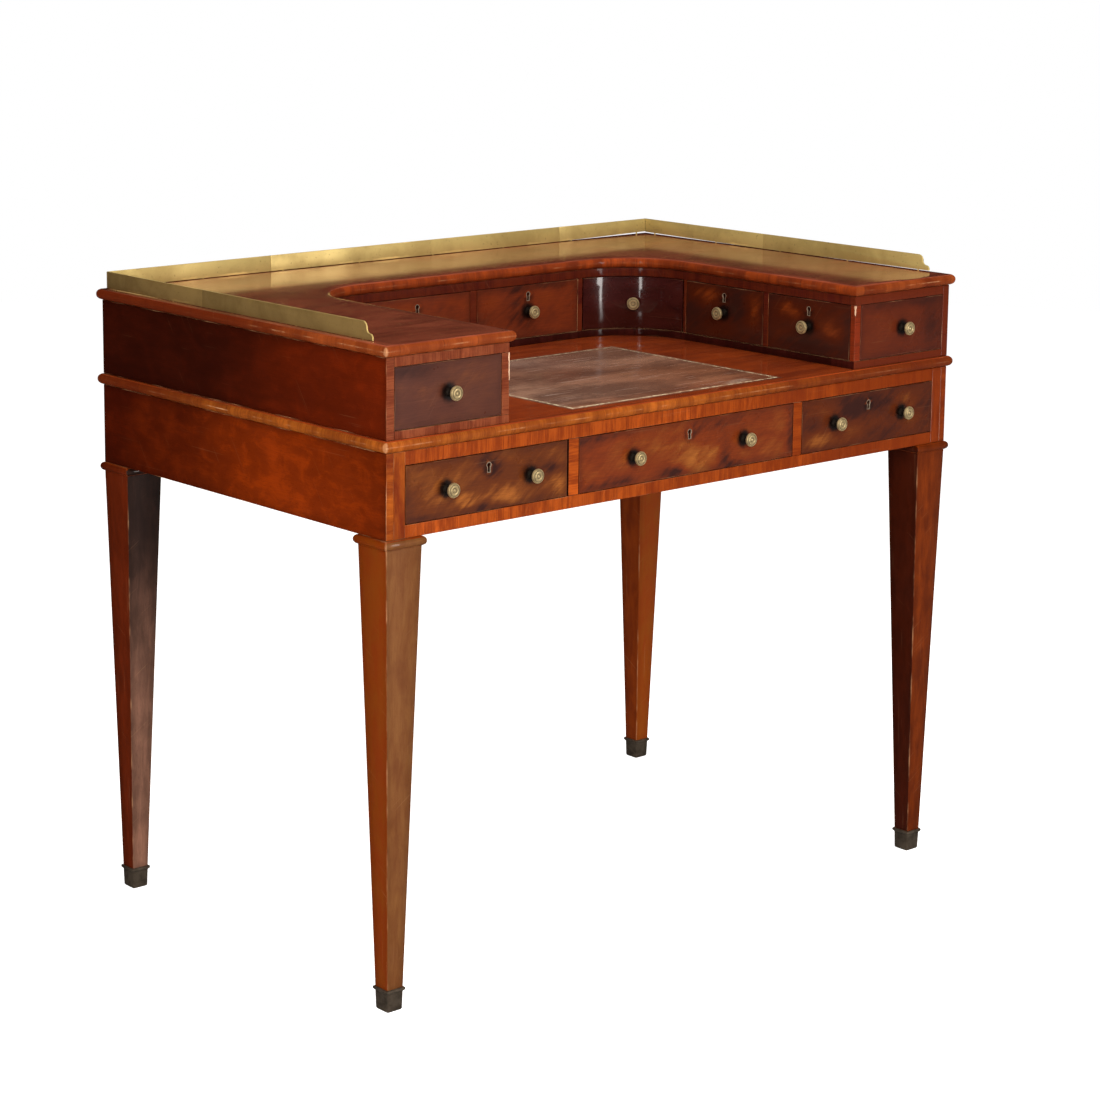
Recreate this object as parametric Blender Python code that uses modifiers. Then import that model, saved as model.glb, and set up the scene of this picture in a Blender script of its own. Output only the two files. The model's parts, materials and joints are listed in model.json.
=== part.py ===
"""Carlton House writing desk in mahogany.

Four square tapered legs in brass caps carry a frieze case with three drawers. A moulded
writing top with a leather panel lies on it, and a U-shaped upper case stands round the
writing space with two drawers at the back, two on the inner side of each arm and a
concave drawer on the diagonal of each inner corner. A low brass gallery rims the top.

Metres, +Z up, the user sits on the -Y side. The origin is on the floor, at the middle of
the whole desk with its front knobs.
"""

import math

import bmesh
import bpy
from mathutils import Matrix, Vector

# Overall sizes
CASE_WIDTH = 1.056
CASE_DEPTH = 0.642
LEG_LENGTH = 0.630
FRIEZE_HEIGHT = 0.112
UPPER_HEIGHT = 0.105
BOARD_THICKNESS = 0.016
NOSING_OVERHANG = 0.006
NOSING_RADIUS_SHARE = 0.45
EDGE_SOFTENING = 0.0006

# Gaps: glued joints, the space round a drawer front, and the side play of a drawer box
JOINT_GAP = 0.0003
FRONT_GAP = 0.0008
SLIDE_PLAY = 0.0005
CUT_OVERRUN = 0.010

# Legs and their brass caps
LEG_TOP_SIDE = 0.058
LEG_FOOT_SIDE = 0.026
LEG_FOOT_INSET = 0.0124
COLLAR_HEIGHT = 0.012
COLLAR_PROJECTION = 0.005
TENON_LENGTH = 0.034
TENON_CHEEK = 0.004
CAP_HEIGHT = 0.031
CAP_WALL = 0.0014
CAP_FLOOR = 0.004
CAP_FOOT_SIDE = 0.0246
CAP_LIP = 0.0025
CAP_LIP_HEIGHT = 0.0045
CAP_CHAMFER = 0.0018
LEG_EDGE_SOFTENING = 0.0012

# Frieze case
STILE_WIDTH = 0.0305
CASE_SIDE_THICKNESS = 0.012
CASE_BACK_THICKNESS = 0.012
TOP_RAIL_HEIGHT = 0.0185
BOTTOM_RAIL_HEIGHT = 0.017
RAIL_DEPTH = 0.055
FRIEZE_PARTITION_THICKNESS = 0.018
CENTRE_OPENING_WIDTH = 0.407
RUNNER_LEDGE = 0.016
GUIDE_HEIGHT = 0.024

# Writing top and its leather
LEATHER_WIDTH = 0.400
LEATHER_DEPTH = 0.351
LEATHER_FRONT_MARGIN = 0.024
LEATHER_THICKNESS = 0.0012

# Upper case
ARM_WIDTH = 0.202
BACK_ROW_DEPTH = 0.1875
CORNER_RADIUS = 0.108
UPPER_SIDE_THICKNESS = 0.013
UPPER_BACK_THICKNESS = 0.010
UPPER_FLOOR_THICKNESS = 0.011
UPPER_CEILING_THICKNESS = 0.013
CENTRE_PARTITION_THICKNESS = 0.013
ROW_END_PARTITION_THICKNESS = 0.010
ARM_PARTITION_THICKNESS = 0.010
CORNER_PARTITION_THICKNESS = 0.0055
ARM_END_THICKNESS = 0.009
ARM_POST_WIDTH = 0.012
FALSE_FRONT_GROOVE_DEPTH = 0.001
CORNER_GUIDE_THICKNESS = 0.008
CORNER_GUIDE_HEIGHT = 0.014
DOWEL_DIAMETER = 0.008
DOWEL_LENGTH = 0.006
DOWEL_INSET = 0.070

# Drawers
FRIEZE_FRONT_THICKNESS = 0.018
UPPER_FRONT_THICKNESS = 0.012
FRIEZE_WALL = 0.009
UPPER_WALL = 0.007
DRAWER_LAP = 0.004
DRAWER_BOTTOM_THICKNESS = 0.005
DRAWER_BOTTOM_RISE = 0.004
DRAWER_TOP_CLEARANCE = 0.004
FRIEZE_BACK_CLEARANCE = 0.050
UPPER_BACK_CLEARANCE = 0.008
CORNER_BOX_WIDTH = 0.132
CORNER_BOX_DEPTH = 0.190

# Knobs and keyholes
KNOB_DIAMETER = 0.0195
KNOB_PROJECTION = 0.0175
KNOB_HEAD_THICKNESS = 0.0085
KNOB_HEAD_SHARES = ((0.0, 0.0), (0.84, 0.05), (1.0, 0.30), (0.92, 0.62))
KNOB_STEM_DIAMETER = 0.007
KNOB_BASE_DIAMETER = 0.0125
KNOB_BASE_THICKNESS = 0.0022
KNOB_SHANK_DIAMETER = 0.004
KNOB_SHANK_LENGTH = 0.006
CORNER_KNOB_STANDOFF = 0.0004
SIDE_KNOB_SPREAD = 0.142
CENTRE_KNOB_SPREAD = 0.210
KEYHOLE_HEIGHT = 0.013
KEYHOLE_EYE_DIAMETER = 0.007
KEYHOLE_TAIL_WIDTH = 0.0048
KEYHOLE_DEPTH = 0.007
FRIEZE_KEYHOLE_RISE = 0.0185
UPPER_KEYHOLE_RISE = 0.0225

# Brass gallery
GALLERY_HEIGHT = 0.021
GALLERY_THICKNESS = 0.003
GALLERY_INSET = 0.0107
GALLERY_FRONT_SETBACK = 0.040
GALLERY_FOOT_GAP = 0.003
GALLERY_OGEE_SHARES = (0.28, 0.30, 0.42)
GALLERY_PEG_DIAMETER = 0.0024
GALLERY_PEG_SPACING = 0.150
GALLERY_PEG_DEPTH = 0.004

# Rounding of the turned and curved work
KNOB_SIDES = 12
HOLE_SIDES = 12
DOWEL_SIDES = 12
PEG_SIDES = 8
OGEE_STEPS = 5
KEYHOLE_STEPS = 8
CORNER_STEPS = 14
NOSING_RESOLUTION = 2

# Finishes: colour, roughness, metallic
MAHOGANY = ((0.30, 0.065, 0.018), 0.28, 0.0)
FLAME_MAHOGANY = ((0.20, 0.045, 0.020), 0.25, 0.0)
CROSSBANDED_MAHOGANY = ((0.42, 0.105, 0.025), 0.30, 0.0)
LEG_MAHOGANY = ((0.24, 0.075, 0.028), 0.38, 0.0)
PINE = ((0.52, 0.36, 0.19), 0.75, 0.0)
BRASS = ((0.55, 0.42, 0.22), 0.38, 1.0)
DARK_BRASS = ((0.16, 0.11, 0.06), 0.50, 1.0)
LEATHER = ((0.20, 0.11, 0.075), 0.42, 0.0)

# Places worked out from the sizes above
HALF_GAP = JOINT_GAP / 2
CASE_CENTRE_Y = (KNOB_PROJECTION - NOSING_OVERHANG) / 2
FRONT_Y = CASE_CENTRE_Y - CASE_DEPTH / 2
BACK_Y = CASE_CENTRE_Y + CASE_DEPTH / 2
SIDE_X = CASE_WIDTH / 2
CASE_TOP_Z = LEG_LENGTH + FRIEZE_HEIGHT
DESK_TOP_Z = CASE_TOP_Z + BOARD_THICKNESS
UPPER_TOP_Z = DESK_TOP_Z + UPPER_HEIGHT
BOARD_TOP_Z = UPPER_TOP_Z + BOARD_THICKNESS
NOSING_RADIUS = BOARD_THICKNESS * NOSING_RADIUS_SHARE

FRIEZE_OPENING_LOW_Z = LEG_LENGTH + BOTTOM_RAIL_HEIGHT
FRIEZE_OPENING_HIGH_Z = CASE_TOP_Z - TOP_RAIL_HEIGHT
STILE_X = SIDE_X - STILE_WIDTH
PARTITION_X = (CENTRE_OPENING_WIDTH + FRIEZE_PARTITION_THICKNESS) / 2
SIDE_OPENING_WIDTH = STILE_X - PARTITION_X - FRIEZE_PARTITION_THICKNESS / 2
SIDE_OPENING_X = STILE_X - SIDE_OPENING_WIDTH / 2

UPPER_OPENING_LOW_Z = DESK_TOP_Z + UPPER_FLOOR_THICKNESS
UPPER_OPENING_HIGH_Z = UPPER_TOP_Z - UPPER_CEILING_THICKNESS
UPPER_INSIDE_X = SIDE_X - UPPER_SIDE_THICKNESS
UPPER_INSIDE_Y = BACK_Y - UPPER_BACK_THICKNESS
ARM_FACE_X = SIDE_X - ARM_WIDTH
ROW_FACE_Y = BACK_Y - BACK_ROW_DEPTH
CORNER_X = ARM_FACE_X - CORNER_RADIUS
CORNER_Y = ROW_FACE_Y - CORNER_RADIUS
ROW_OPENING_WIDTH = CORNER_X - ROW_END_PARTITION_THICKNESS - CENTRE_PARTITION_THICKNESS / 2
ROW_OPENING_X = (CENTRE_PARTITION_THICKNESS + ROW_OPENING_WIDTH) / 2
ARM_OPENING_WIDTH = (
    CORNER_Y - FRONT_Y - CORNER_PARTITION_THICKNESS - ARM_PARTITION_THICKNESS - ARM_END_THICKNESS
) / 2
REAR_OPENING_Y = CORNER_Y - CORNER_PARTITION_THICKNESS - ARM_OPENING_WIDTH / 2
FORE_OPENING_Y = REAR_OPENING_Y - ARM_OPENING_WIDTH - ARM_PARTITION_THICKNESS
DIAGONAL = math.sqrt(0.5)
GALLERY_OUTER_X = SIDE_X + NOSING_OVERHANG - GALLERY_INSET
GALLERY_OUTER_Y = BACK_Y + NOSING_OVERHANG - GALLERY_INSET
GALLERY_FRONT_Y = FRONT_Y - NOSING_OVERHANG + GALLERY_FRONT_SETBACK


def clear_scene():
    """Remove whatever the scene holds, so the desk stands alone."""
    for existing in list(bpy.data.objects):
        bpy.data.objects.remove(existing, do_unlink=True)


def new_collection(name):
    """Make a collection in the scene."""
    collection = bpy.data.collections.new(name)
    bpy.context.scene.collection.children.link(collection)
    return collection


def give_finish(piece, look):
    """Give a piece its own material."""
    colour, roughness, metallic = look
    material = bpy.data.materials.new(piece.name + "_finish")
    material.use_nodes = True
    shader = material.node_tree.nodes["Principled BSDF"]
    shader.inputs["Base Color"].default_value = (*colour, 1.0)
    shader.inputs["Roughness"].default_value = roughness
    shader.inputs["Metallic"].default_value = metallic
    piece.data.materials.clear()
    piece.data.materials.append(material)


def add_piece(name, mesh, look, parent=None):
    """Add a sub-part of the desk."""
    piece = bpy.data.objects.new(name, mesh)
    DESK.objects.link(piece)
    piece.parent = parent
    give_finish(piece, look)
    return piece


def add_cutter(name, mesh, parent=None):
    """Add a shape that only cuts or joins other pieces."""
    cutter = bpy.data.objects.new(name, mesh)
    CUTTERS.objects.link(cutter)
    cutter.parent = parent
    cutter.hide_render = True
    cutter.display_type = "WIRE"
    return cutter


def combine(piece, other, operation):
    """Cut a shape out of a piece, or join it on."""
    modifier = piece.modifiers.new(operation.lower(), "BOOLEAN")
    modifier.operation = operation
    modifier.solver = "EXACT"
    modifier.object = other


def soften(piece, width=EDGE_SOFTENING):
    """Take the sharpness off a piece's edges."""
    modifier = piece.modifiers.new("soften", "BEVEL")
    modifier.width = width
    modifier.segments = 1
    modifier.limit_method = "ANGLE"
    modifier.angle_limit = math.radians(40)


def mesh_from(bm, name):
    """Turn a bmesh into a mesh."""
    mesh = bpy.data.meshes.new(name)
    bm.to_mesh(mesh)
    bm.free()
    return mesh


def put_box(bm, low, high):
    """Add a box between two corners to a bmesh."""
    low, high = Vector(low), Vector(high)
    place = Matrix.Translation((low + high) / 2) @ Matrix.Diagonal((*(high - low), 1.0))
    bmesh.ops.create_cube(bm, size=1.0, matrix=place)


def boards_mesh(name, boards):
    """Boards between nominal corners, each drawn in by half the joint gap on every face."""
    bm = bmesh.new()
    inset = Vector((HALF_GAP, HALF_GAP, HALF_GAP))
    for low, high in boards:
        put_box(bm, Vector(low) + inset, Vector(high) - inset)
    return mesh_from(bm, name)


def add_boards(name, boards, look, parent=None):
    """Add one board, or a set of like boards, as a piece."""
    return add_piece(name, boards_mesh(name, boards), look, parent)


def box_cutter(name, low, high, parent=None):
    """Add a cutter with the shape of a box."""
    bm = bmesh.new()
    put_box(bm, low, high)
    return add_cutter(name, mesh_from(bm, name), parent)


def mirrored_x(box):
    """The box on the other side of the desk's centre plane."""
    (x_low, y_low, z_low), (x_high, y_high, z_high) = box
    return (-x_high, y_low, z_low), (-x_low, y_high, z_high)


def both_sides(box):
    """A box and its mirror image."""
    return [mirrored_x(box), box]


def evaluated_mesh(piece, name):
    """Turn an object, with its modifiers or curve settings, into one welded closed mesh."""
    bpy.context.view_layer.update()
    evaluated = piece.evaluated_get(bpy.context.evaluated_depsgraph_get())
    mesh = bpy.data.meshes.new_from_object(evaluated)
    mesh.name = name
    bm = bmesh.new()
    bm.from_mesh(mesh)
    bmesh.ops.remove_doubles(bm, verts=bm.verts, dist=JOINT_GAP / 30)
    bmesh.ops.dissolve_degenerate(bm, edges=bm.edges, dist=JOINT_GAP / 30)
    bmesh.ops.recalc_face_normals(bm, faces=bm.faces)
    bm.to_mesh(mesh)
    bm.free()
    bpy.data.objects.remove(piece)
    return mesh


def outline_mesh(name, outlines, thickness, edge_radius=0.0):
    """A flat solid from closed outlines in the XY plane, centred on z = 0."""
    curve = bpy.data.curves.new(name, "CURVE")
    curve.dimensions = "2D"
    curve.fill_mode = "BOTH"
    curve.extrude = thickness / 2 - edge_radius
    curve.bevel_depth = edge_radius
    curve.bevel_resolution = NOSING_RESOLUTION
    curve.offset = -edge_radius
    for outline in outlines:
        spline = curve.splines.new("POLY")
        spline.points.add(len(outline) - 1)
        spline.use_cyclic_u = True
        for point, (x, y) in zip(spline.points, outline):
            point.co = (x, y, 0.0, 1.0)
    guide = bpy.data.objects.new(name, curve)
    CUTTERS.objects.link(guide)
    return evaluated_mesh(guide, name)


def turned_mesh(name, profile, sides):
    """A solid of revolution about Z, from (radius, height) points listed from top to bottom."""
    bm = bmesh.new()
    points = [bm.verts.new((radius, 0.0, height)) for radius, height in profile]
    for upper, lower in zip(points, points[1:]):
        bm.edges.new((upper, lower))
    guide = bpy.data.objects.new(name, mesh_from(bm, name))
    CUTTERS.objects.link(guide)
    screw = guide.modifiers.new("turn", "SCREW")
    screw.steps = sides
    screw.render_steps = sides
    screw.use_merge_vertices = True
    screw.merge_threshold = JOINT_GAP / 30
    return evaluated_mesh(guide, name)


def arc(centre, radius, start, end, steps):
    """Points on an arc, with both ends, from one angle in degrees to another."""
    angles = [math.radians(start + (end - start) * step / steps) for step in range(steps + 1)]
    return [(centre[0] + radius * math.cos(a), centre[1] + radius * math.sin(a)) for a in angles]


def u_outline(outer_x, outer_y, front_y, lip):
    """The U of the upper case in plan, its inner edge standing out by lip over the drawer faces."""
    corner = arc((CORNER_X, CORNER_Y), CORNER_RADIUS - lip, 0, 90, CORNER_STEPS)
    right = [(outer_x, outer_y), (outer_x, front_y), (ARM_FACE_X - lip, front_y)] + corner
    left = [(-x, y) for x, y in reversed(right)]
    return right + left


def keyhole_outline():
    """A keyhole about its own middle: a round eye over a straight tail."""
    radius = KEYHOLE_EYE_DIAMETER / 2
    half_tail = KEYHOLE_TAIL_WIDTH / 2
    eye = (0.0, KEYHOLE_HEIGHT / 2 - radius)
    meeting = math.degrees(math.asin(half_tail / radius))
    outline = arc(eye, radius, meeting - 90, 270 - meeting, KEYHOLE_STEPS)
    return outline + [(-half_tail, -KEYHOLE_HEIGHT / 2), (half_tail, -KEYHOLE_HEIGHT / 2)]


def tenon_box(side_x, side_y, clearance):
    """The tenon of a leg in the corner of the case over it, drawn in by a clearance."""
    inset = TENON_CHEEK + clearance
    x_low, x_high = STILE_X + inset, SIDE_X - CASE_SIDE_THICKNESS - inset
    if side_y < 0:
        y_low, y_high = FRONT_Y + inset, FRONT_Y + LEG_TOP_SIDE - inset
    else:
        y_low, y_high = BACK_Y - LEG_TOP_SIDE + inset, BACK_Y - CASE_BACK_THICKNESS - inset
    top_z = LEG_LENGTH + TENON_LENGTH - clearance
    box = ((x_low, y_low, LEG_LENGTH - CUT_OVERRUN), (x_high, y_high, top_z))
    return box if side_x > 0 else mirrored_x(box)


def foot_shift(height):
    """How far a leg's centre has moved outward at a height, because its outer faces taper less."""
    whole = LEG_TOP_SIDE / 2 - LEG_FOOT_INSET - LEG_FOOT_SIDE / 2
    taper_top = LEG_LENGTH - COLLAR_HEIGHT
    share = (taper_top - height) / (taper_top - CAP_HEIGHT)
    return whole * min(1.0, max(0.0, share))


def square_turned_mesh(name, profile):
    """A square solid with mitred corners, from (half side, height) points, top to bottom."""
    mesh = turned_mesh(name, [(half_side / DIAGONAL, z) for half_side, z in profile], 4)
    mesh.transform(Matrix.Rotation(math.radians(45), 4, "Z"))
    return mesh


def leg_profile():
    """Half sides of a leg from its top to its shoulder on the cap."""
    bead = COLLAR_HEIGHT / 2
    middle = LEG_LENGTH - bead - HALF_GAP
    profile = [(0.0, LEG_LENGTH - HALF_GAP)]
    for reach, rise in arc((LEG_TOP_SIDE / 2, middle), 1.0, 90, -90, 6):
        bulge = (reach - LEG_TOP_SIDE / 2) * COLLAR_PROJECTION
        profile.append((LEG_TOP_SIDE / 2 + bulge, middle + (rise - middle) * bead))
    shoulder = CAP_HEIGHT + JOINT_GAP
    return profile + [(LEG_FOOT_SIDE / 2, shoulder), (0.0, shoulder)]


def cap_profile():
    """Half sides of a leg cap, from the middle of its pocket up, over the lip and down."""
    pocket = CAP_FOOT_SIDE / 2 - CAP_WALL
    body = LEG_FOOT_SIDE / 2
    lip_low = CAP_HEIGHT - CAP_LIP_HEIGHT
    return [
        (0.0, CAP_FLOOR),
        (pocket, CAP_FLOOR),
        (pocket, CAP_HEIGHT),
        (body + CAP_LIP, CAP_HEIGHT),
        (body + CAP_LIP, lip_low),
        (body, lip_low),
        (CAP_FOOT_SIDE / 2, CAP_CHAMFER),
        (CAP_FOOT_SIDE / 2 - CAP_CHAMFER, 0.0),
        (0.0, 0.0),
    ]


def build_legs():
    """Square tapered legs with an astragal collar, tenoned up into the corners of the case."""
    leg_pattern = square_turned_mesh("leg_pattern", leg_profile())
    cap_pattern = square_turned_mesh("cap_pattern", cap_profile())
    for side_name, side_x in (("left", -1), ("right", 1)):
        for end_name, side_y in (("front", -1), ("back", 1)):
            centre_x = side_x * (SIDE_X - LEG_TOP_SIDE / 2)
            centre_y = CASE_CENTRE_Y + side_y * (CASE_DEPTH - LEG_TOP_SIDE) / 2
            mesh = leg_pattern.copy()
            for vertex in mesh.vertices:
                shift = foot_shift(vertex.co.z)
                vertex.co.x += centre_x + side_x * shift
                vertex.co.y += centre_y + side_y * shift
            leg = add_piece(f"leg_{end_name}_{side_name}", mesh, LEG_MAHOGANY)
            soften(leg, LEG_EDGE_SOFTENING)
            foot = foot_shift(0.0)
            place = Vector((centre_x + side_x * foot, centre_y + side_y * foot, 0.0))
            stub_half = CAP_FOOT_SIDE / 2 - CAP_WALL - JOINT_GAP
            stub = (
                place + Vector((-stub_half, -stub_half, CAP_FLOOR + JOINT_GAP)),
                place + Vector((stub_half, stub_half, CAP_HEIGHT + CUT_OVERRUN)),
            )
            ends = boxes_cutter(leg.name + "_ends", [tenon_box(side_x, side_y, HALF_GAP), stub])
            combine(leg, ends, "UNION")
            cap = cap_pattern.copy()
            cap.transform(Matrix.Translation(place))
            add_piece(f"cap_{end_name}_{side_name}", cap, DARK_BRASS)


def boxes_cutter(name, boxes):
    """Add one cutter that holds several boxes clear of each other."""
    bm = bmesh.new()
    for low, high in boxes:
        put_box(bm, low, high)
    return add_cutter(name, mesh_from(bm, name))


def upright_mesh(name, outline, low_x, high_x):
    """A flat solid that stands in the YZ plane, from its outline as (y, z) points."""
    mesh = outline_mesh(name, [outline], high_x - low_x)
    middle = (low_x + high_x) / 2
    mesh.transform(Matrix(((0, 0, 1, middle), (1, 0, 0, 0), (0, 1, 0, 0), (0, 0, 0, 1))))
    return mesh


def case_side_boxes():
    """What a right case side is made of: its block, what is cut from it and its two ledges."""
    inside_x = SIDE_X - CASE_SIDE_THICKNESS
    front_y, back_y = FRONT_Y + LEG_TOP_SIDE, BACK_Y - LEG_TOP_SIDE
    ledge_x = STILE_X - RUNNER_LEDGE + HALF_GAP
    guide_top = FRIEZE_OPENING_LOW_Z + GUIDE_HEIGHT
    block = ((STILE_X, FRONT_Y, LEG_LENGTH), (SIDE_X, BACK_Y, CASE_TOP_Z))
    hollow = ((STILE_X - CUT_OVERRUN, front_y, guide_top), (inside_x, back_y, FRIEZE_OPENING_HIGH_Z))
    back_seat_y = BACK_Y - CASE_BACK_THICKNESS - HALF_GAP
    rebate = (
        (STILE_X - CUT_OVERRUN, back_seat_y, LEG_LENGTH - CUT_OVERRUN),
        (inside_x + HALF_GAP, BACK_Y + CUT_OVERRUN, CASE_TOP_Z + CUT_OVERRUN),
    )
    mortises = [tenon_box(1, side_y, -HALF_GAP) for side_y in (-1, 1)]
    runner = (
        (ledge_x, front_y, LEG_LENGTH + HALF_GAP),
        (STILE_X + CUT_OVERRUN, back_y, FRIEZE_OPENING_LOW_Z - HALF_GAP),
    )
    kicker = (
        (ledge_x, front_y, FRIEZE_OPENING_HIGH_Z + HALF_GAP),
        (STILE_X + CUT_OVERRUN, back_y, CASE_TOP_Z - HALF_GAP),
    )
    return block, [hollow, rebate] + mortises, [runner, kicker]


def build_frieze_case():
    """The case under the writing top: panels with their posts, back, rails and partitions."""
    block, cuts, ledges = case_side_boxes()
    for side_name, side_x in (("left", -1), ("right", 1)):
        sided = [box if side_x > 0 else mirrored_x(box) for box in [block] + cuts + ledges]
        side = add_boards("case_side_" + side_name, sided[:1], MAHOGANY)
        combine(side, boxes_cutter(side.name + "_cuts", sided[1 : 1 + len(cuts)]), "DIFFERENCE")
        combine(side, boxes_cutter(side.name + "_ledges", sided[1 + len(cuts) :]), "UNION")

    inside_x = SIDE_X - CASE_SIDE_THICKNESS
    back_inside_y = BACK_Y - CASE_BACK_THICKNESS
    rail_back_y = FRONT_Y + RAIL_DEPTH
    low_z, high_z = FRIEZE_OPENING_LOW_Z, FRIEZE_OPENING_HIGH_Z
    back = ((-inside_x, back_inside_y, LEG_LENGTH), (inside_x, BACK_Y, CASE_TOP_Z))
    add_boards("case_back", [back], MAHOGANY)
    top_rail = ((-STILE_X, FRONT_Y, high_z), (STILE_X, rail_back_y, CASE_TOP_Z))
    add_boards("frieze_rail_top", [top_rail], CROSSBANDED_MAHOGANY)
    low_rail = ((-STILE_X, FRONT_Y, LEG_LENGTH), (STILE_X, rail_back_y, low_z))
    add_boards("frieze_rail_bottom", [low_rail], CROSSBANDED_MAHOGANY)

    gap = HALF_GAP
    outline = [
        (FRONT_Y + gap, low_z + gap),
        (rail_back_y + gap, low_z + gap),
        (rail_back_y + gap, LEG_LENGTH + gap),
        (back_inside_y - gap, LEG_LENGTH + gap),
        (back_inside_y - gap, CASE_TOP_Z - gap),
        (rail_back_y + gap, CASE_TOP_Z - gap),
        (rail_back_y + gap, high_z - gap),
        (FRONT_Y + gap, high_z - gap),
    ]
    half_web = FRIEZE_PARTITION_THICKNESS / 2
    half_bar = half_web + RUNNER_LEDGE
    for side_name, side_x in (("left", -1), ("right", 1)):
        name = "frieze_partition_" + side_name
        middle = side_x * PARTITION_X
        mesh = upright_mesh(name, outline, middle - half_web + gap, middle + half_web - gap)
        partition = add_piece(name, mesh, CROSSBANDED_MAHOGANY)
        bar_ends = (rail_back_y + gap, back_inside_y - gap)
        bars = [
            (
                (middle - half_bar, bar_ends[0], bar_low + gap),
                (middle + half_bar, bar_ends[1], bar_high - gap),
            )
            for bar_low, bar_high in ((LEG_LENGTH, low_z), (high_z, CASE_TOP_Z))
        ]
        combine(partition, boxes_cutter(name + "_bars", bars), "UNION")


def build_writing_top():
    """The moulded writing top, and the leather let into it."""
    half_width = SIDE_X + NOSING_OVERHANG
    front_y = FRONT_Y - NOSING_OVERHANG
    back_y = BACK_Y + NOSING_OVERHANG
    outline = [(-half_width, front_y), (half_width, front_y), (half_width, back_y), (-half_width, back_y)]
    mesh = outline_mesh("writing_top", [outline], BOARD_THICKNESS - JOINT_GAP, NOSING_RADIUS)
    top = add_piece("writing_top", mesh, MAHOGANY)
    top.location.z = CASE_TOP_Z + BOARD_THICKNESS / 2

    surface_z = DESK_TOP_Z - HALF_GAP
    leather_front_y = front_y + LEATHER_FRONT_MARGIN
    low = Vector((-LEATHER_WIDTH / 2, leather_front_y, surface_z - LEATHER_THICKNESS))
    high = Vector((LEATHER_WIDTH / 2, leather_front_y + LEATHER_DEPTH, surface_z))
    bm = bmesh.new()
    put_box(bm, low, high)
    add_piece("writing_leather", mesh_from(bm, "writing_leather"), LEATHER)
    gap = Vector((JOINT_GAP, JOINT_GAP, JOINT_GAP))
    recess = box_cutter("leather_recess", low - gap, high + gap + Vector((0.0, 0.0, CUT_OVERRUN)))
    combine(top, recess, "DIFFERENCE")
    hole_ends = (DESK_TOP_Z - DOWEL_LENGTH - JOINT_GAP, DESK_TOP_Z + CUT_OVERRUN)
    hole_radius = DOWEL_DIAMETER / 2 + JOINT_GAP
    holes = pin_cutter("writing_top_holes", dowels(), hole_radius, hole_ends, DOWEL_SIDES)
    combine(top, holes, "DIFFERENCE")


def pin_cutter(name, places, radius, ends, sides):
    """Upright round pins between two heights, to be joined to a piece or cut out of it."""
    low_z, high_z = ends
    bm = bmesh.new()
    for x, y in places:
        matrix = Matrix.Translation((x, y, (low_z + high_z) / 2))
        bmesh.ops.create_cone(
            bm, cap_ends=True, segments=sides, radius1=radius, radius2=radius,
            depth=high_z - low_z, matrix=matrix,
        )
    return add_cutter(name, mesh_from(bm, name))


def dowels():
    """Where the upper case is dowelled to the writing top: near both ends of each arm."""
    middle_x = (ARM_FACE_X + SIDE_X) / 2
    ends_y = (FRONT_Y + DOWEL_INSET, BACK_Y - DOWEL_INSET)
    return [(side_x * middle_x, y) for side_x in (-1, 1) for y in ends_y]


def peg_places(start, end):
    """Even places for pegs along a strip, one near each end."""
    count = max(2, round((end - start) / GALLERY_PEG_SPACING) + 1)
    first = start + GALLERY_HEIGHT
    last = end - GALLERY_HEIGHT
    return [first + (last - first) * step / (count - 1) for step in range(count)]


def gallery_pegs():
    """Where the pegs of the gallery stand on the top board."""
    peg_x = GALLERY_OUTER_X - GALLERY_THICKNESS / 2
    peg_y = GALLERY_OUTER_Y - GALLERY_THICKNESS / 2
    back = [(x, peg_y) for x in peg_places(-GALLERY_OUTER_X, GALLERY_OUTER_X)]
    side = peg_places(GALLERY_FRONT_Y, GALLERY_OUTER_Y - GALLERY_THICKNESS)
    return back + [(side_x * peg_x, y) for side_x in (-1, 1) for y in side]


def corner_guide_box():
    """A batten that guides one side of a corner drawer, in that drawer's own frame."""
    near = CORNER_BOX_WIDTH / 2 + SLIDE_PLAY
    front = UPPER_FRONT_THICKNESS + CORNER_GUIDE_THICKNESS
    low = (near, front, UPPER_OPENING_LOW_Z - UPPER_FLOOR_THICKNESS / 2)
    top = UPPER_OPENING_LOW_Z + CORNER_GUIDE_HEIGHT
    high = (near + CORNER_GUIDE_THICKNESS, CORNER_BOX_DEPTH - CORNER_GUIDE_THICKNESS, top)
    return low, high


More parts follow.
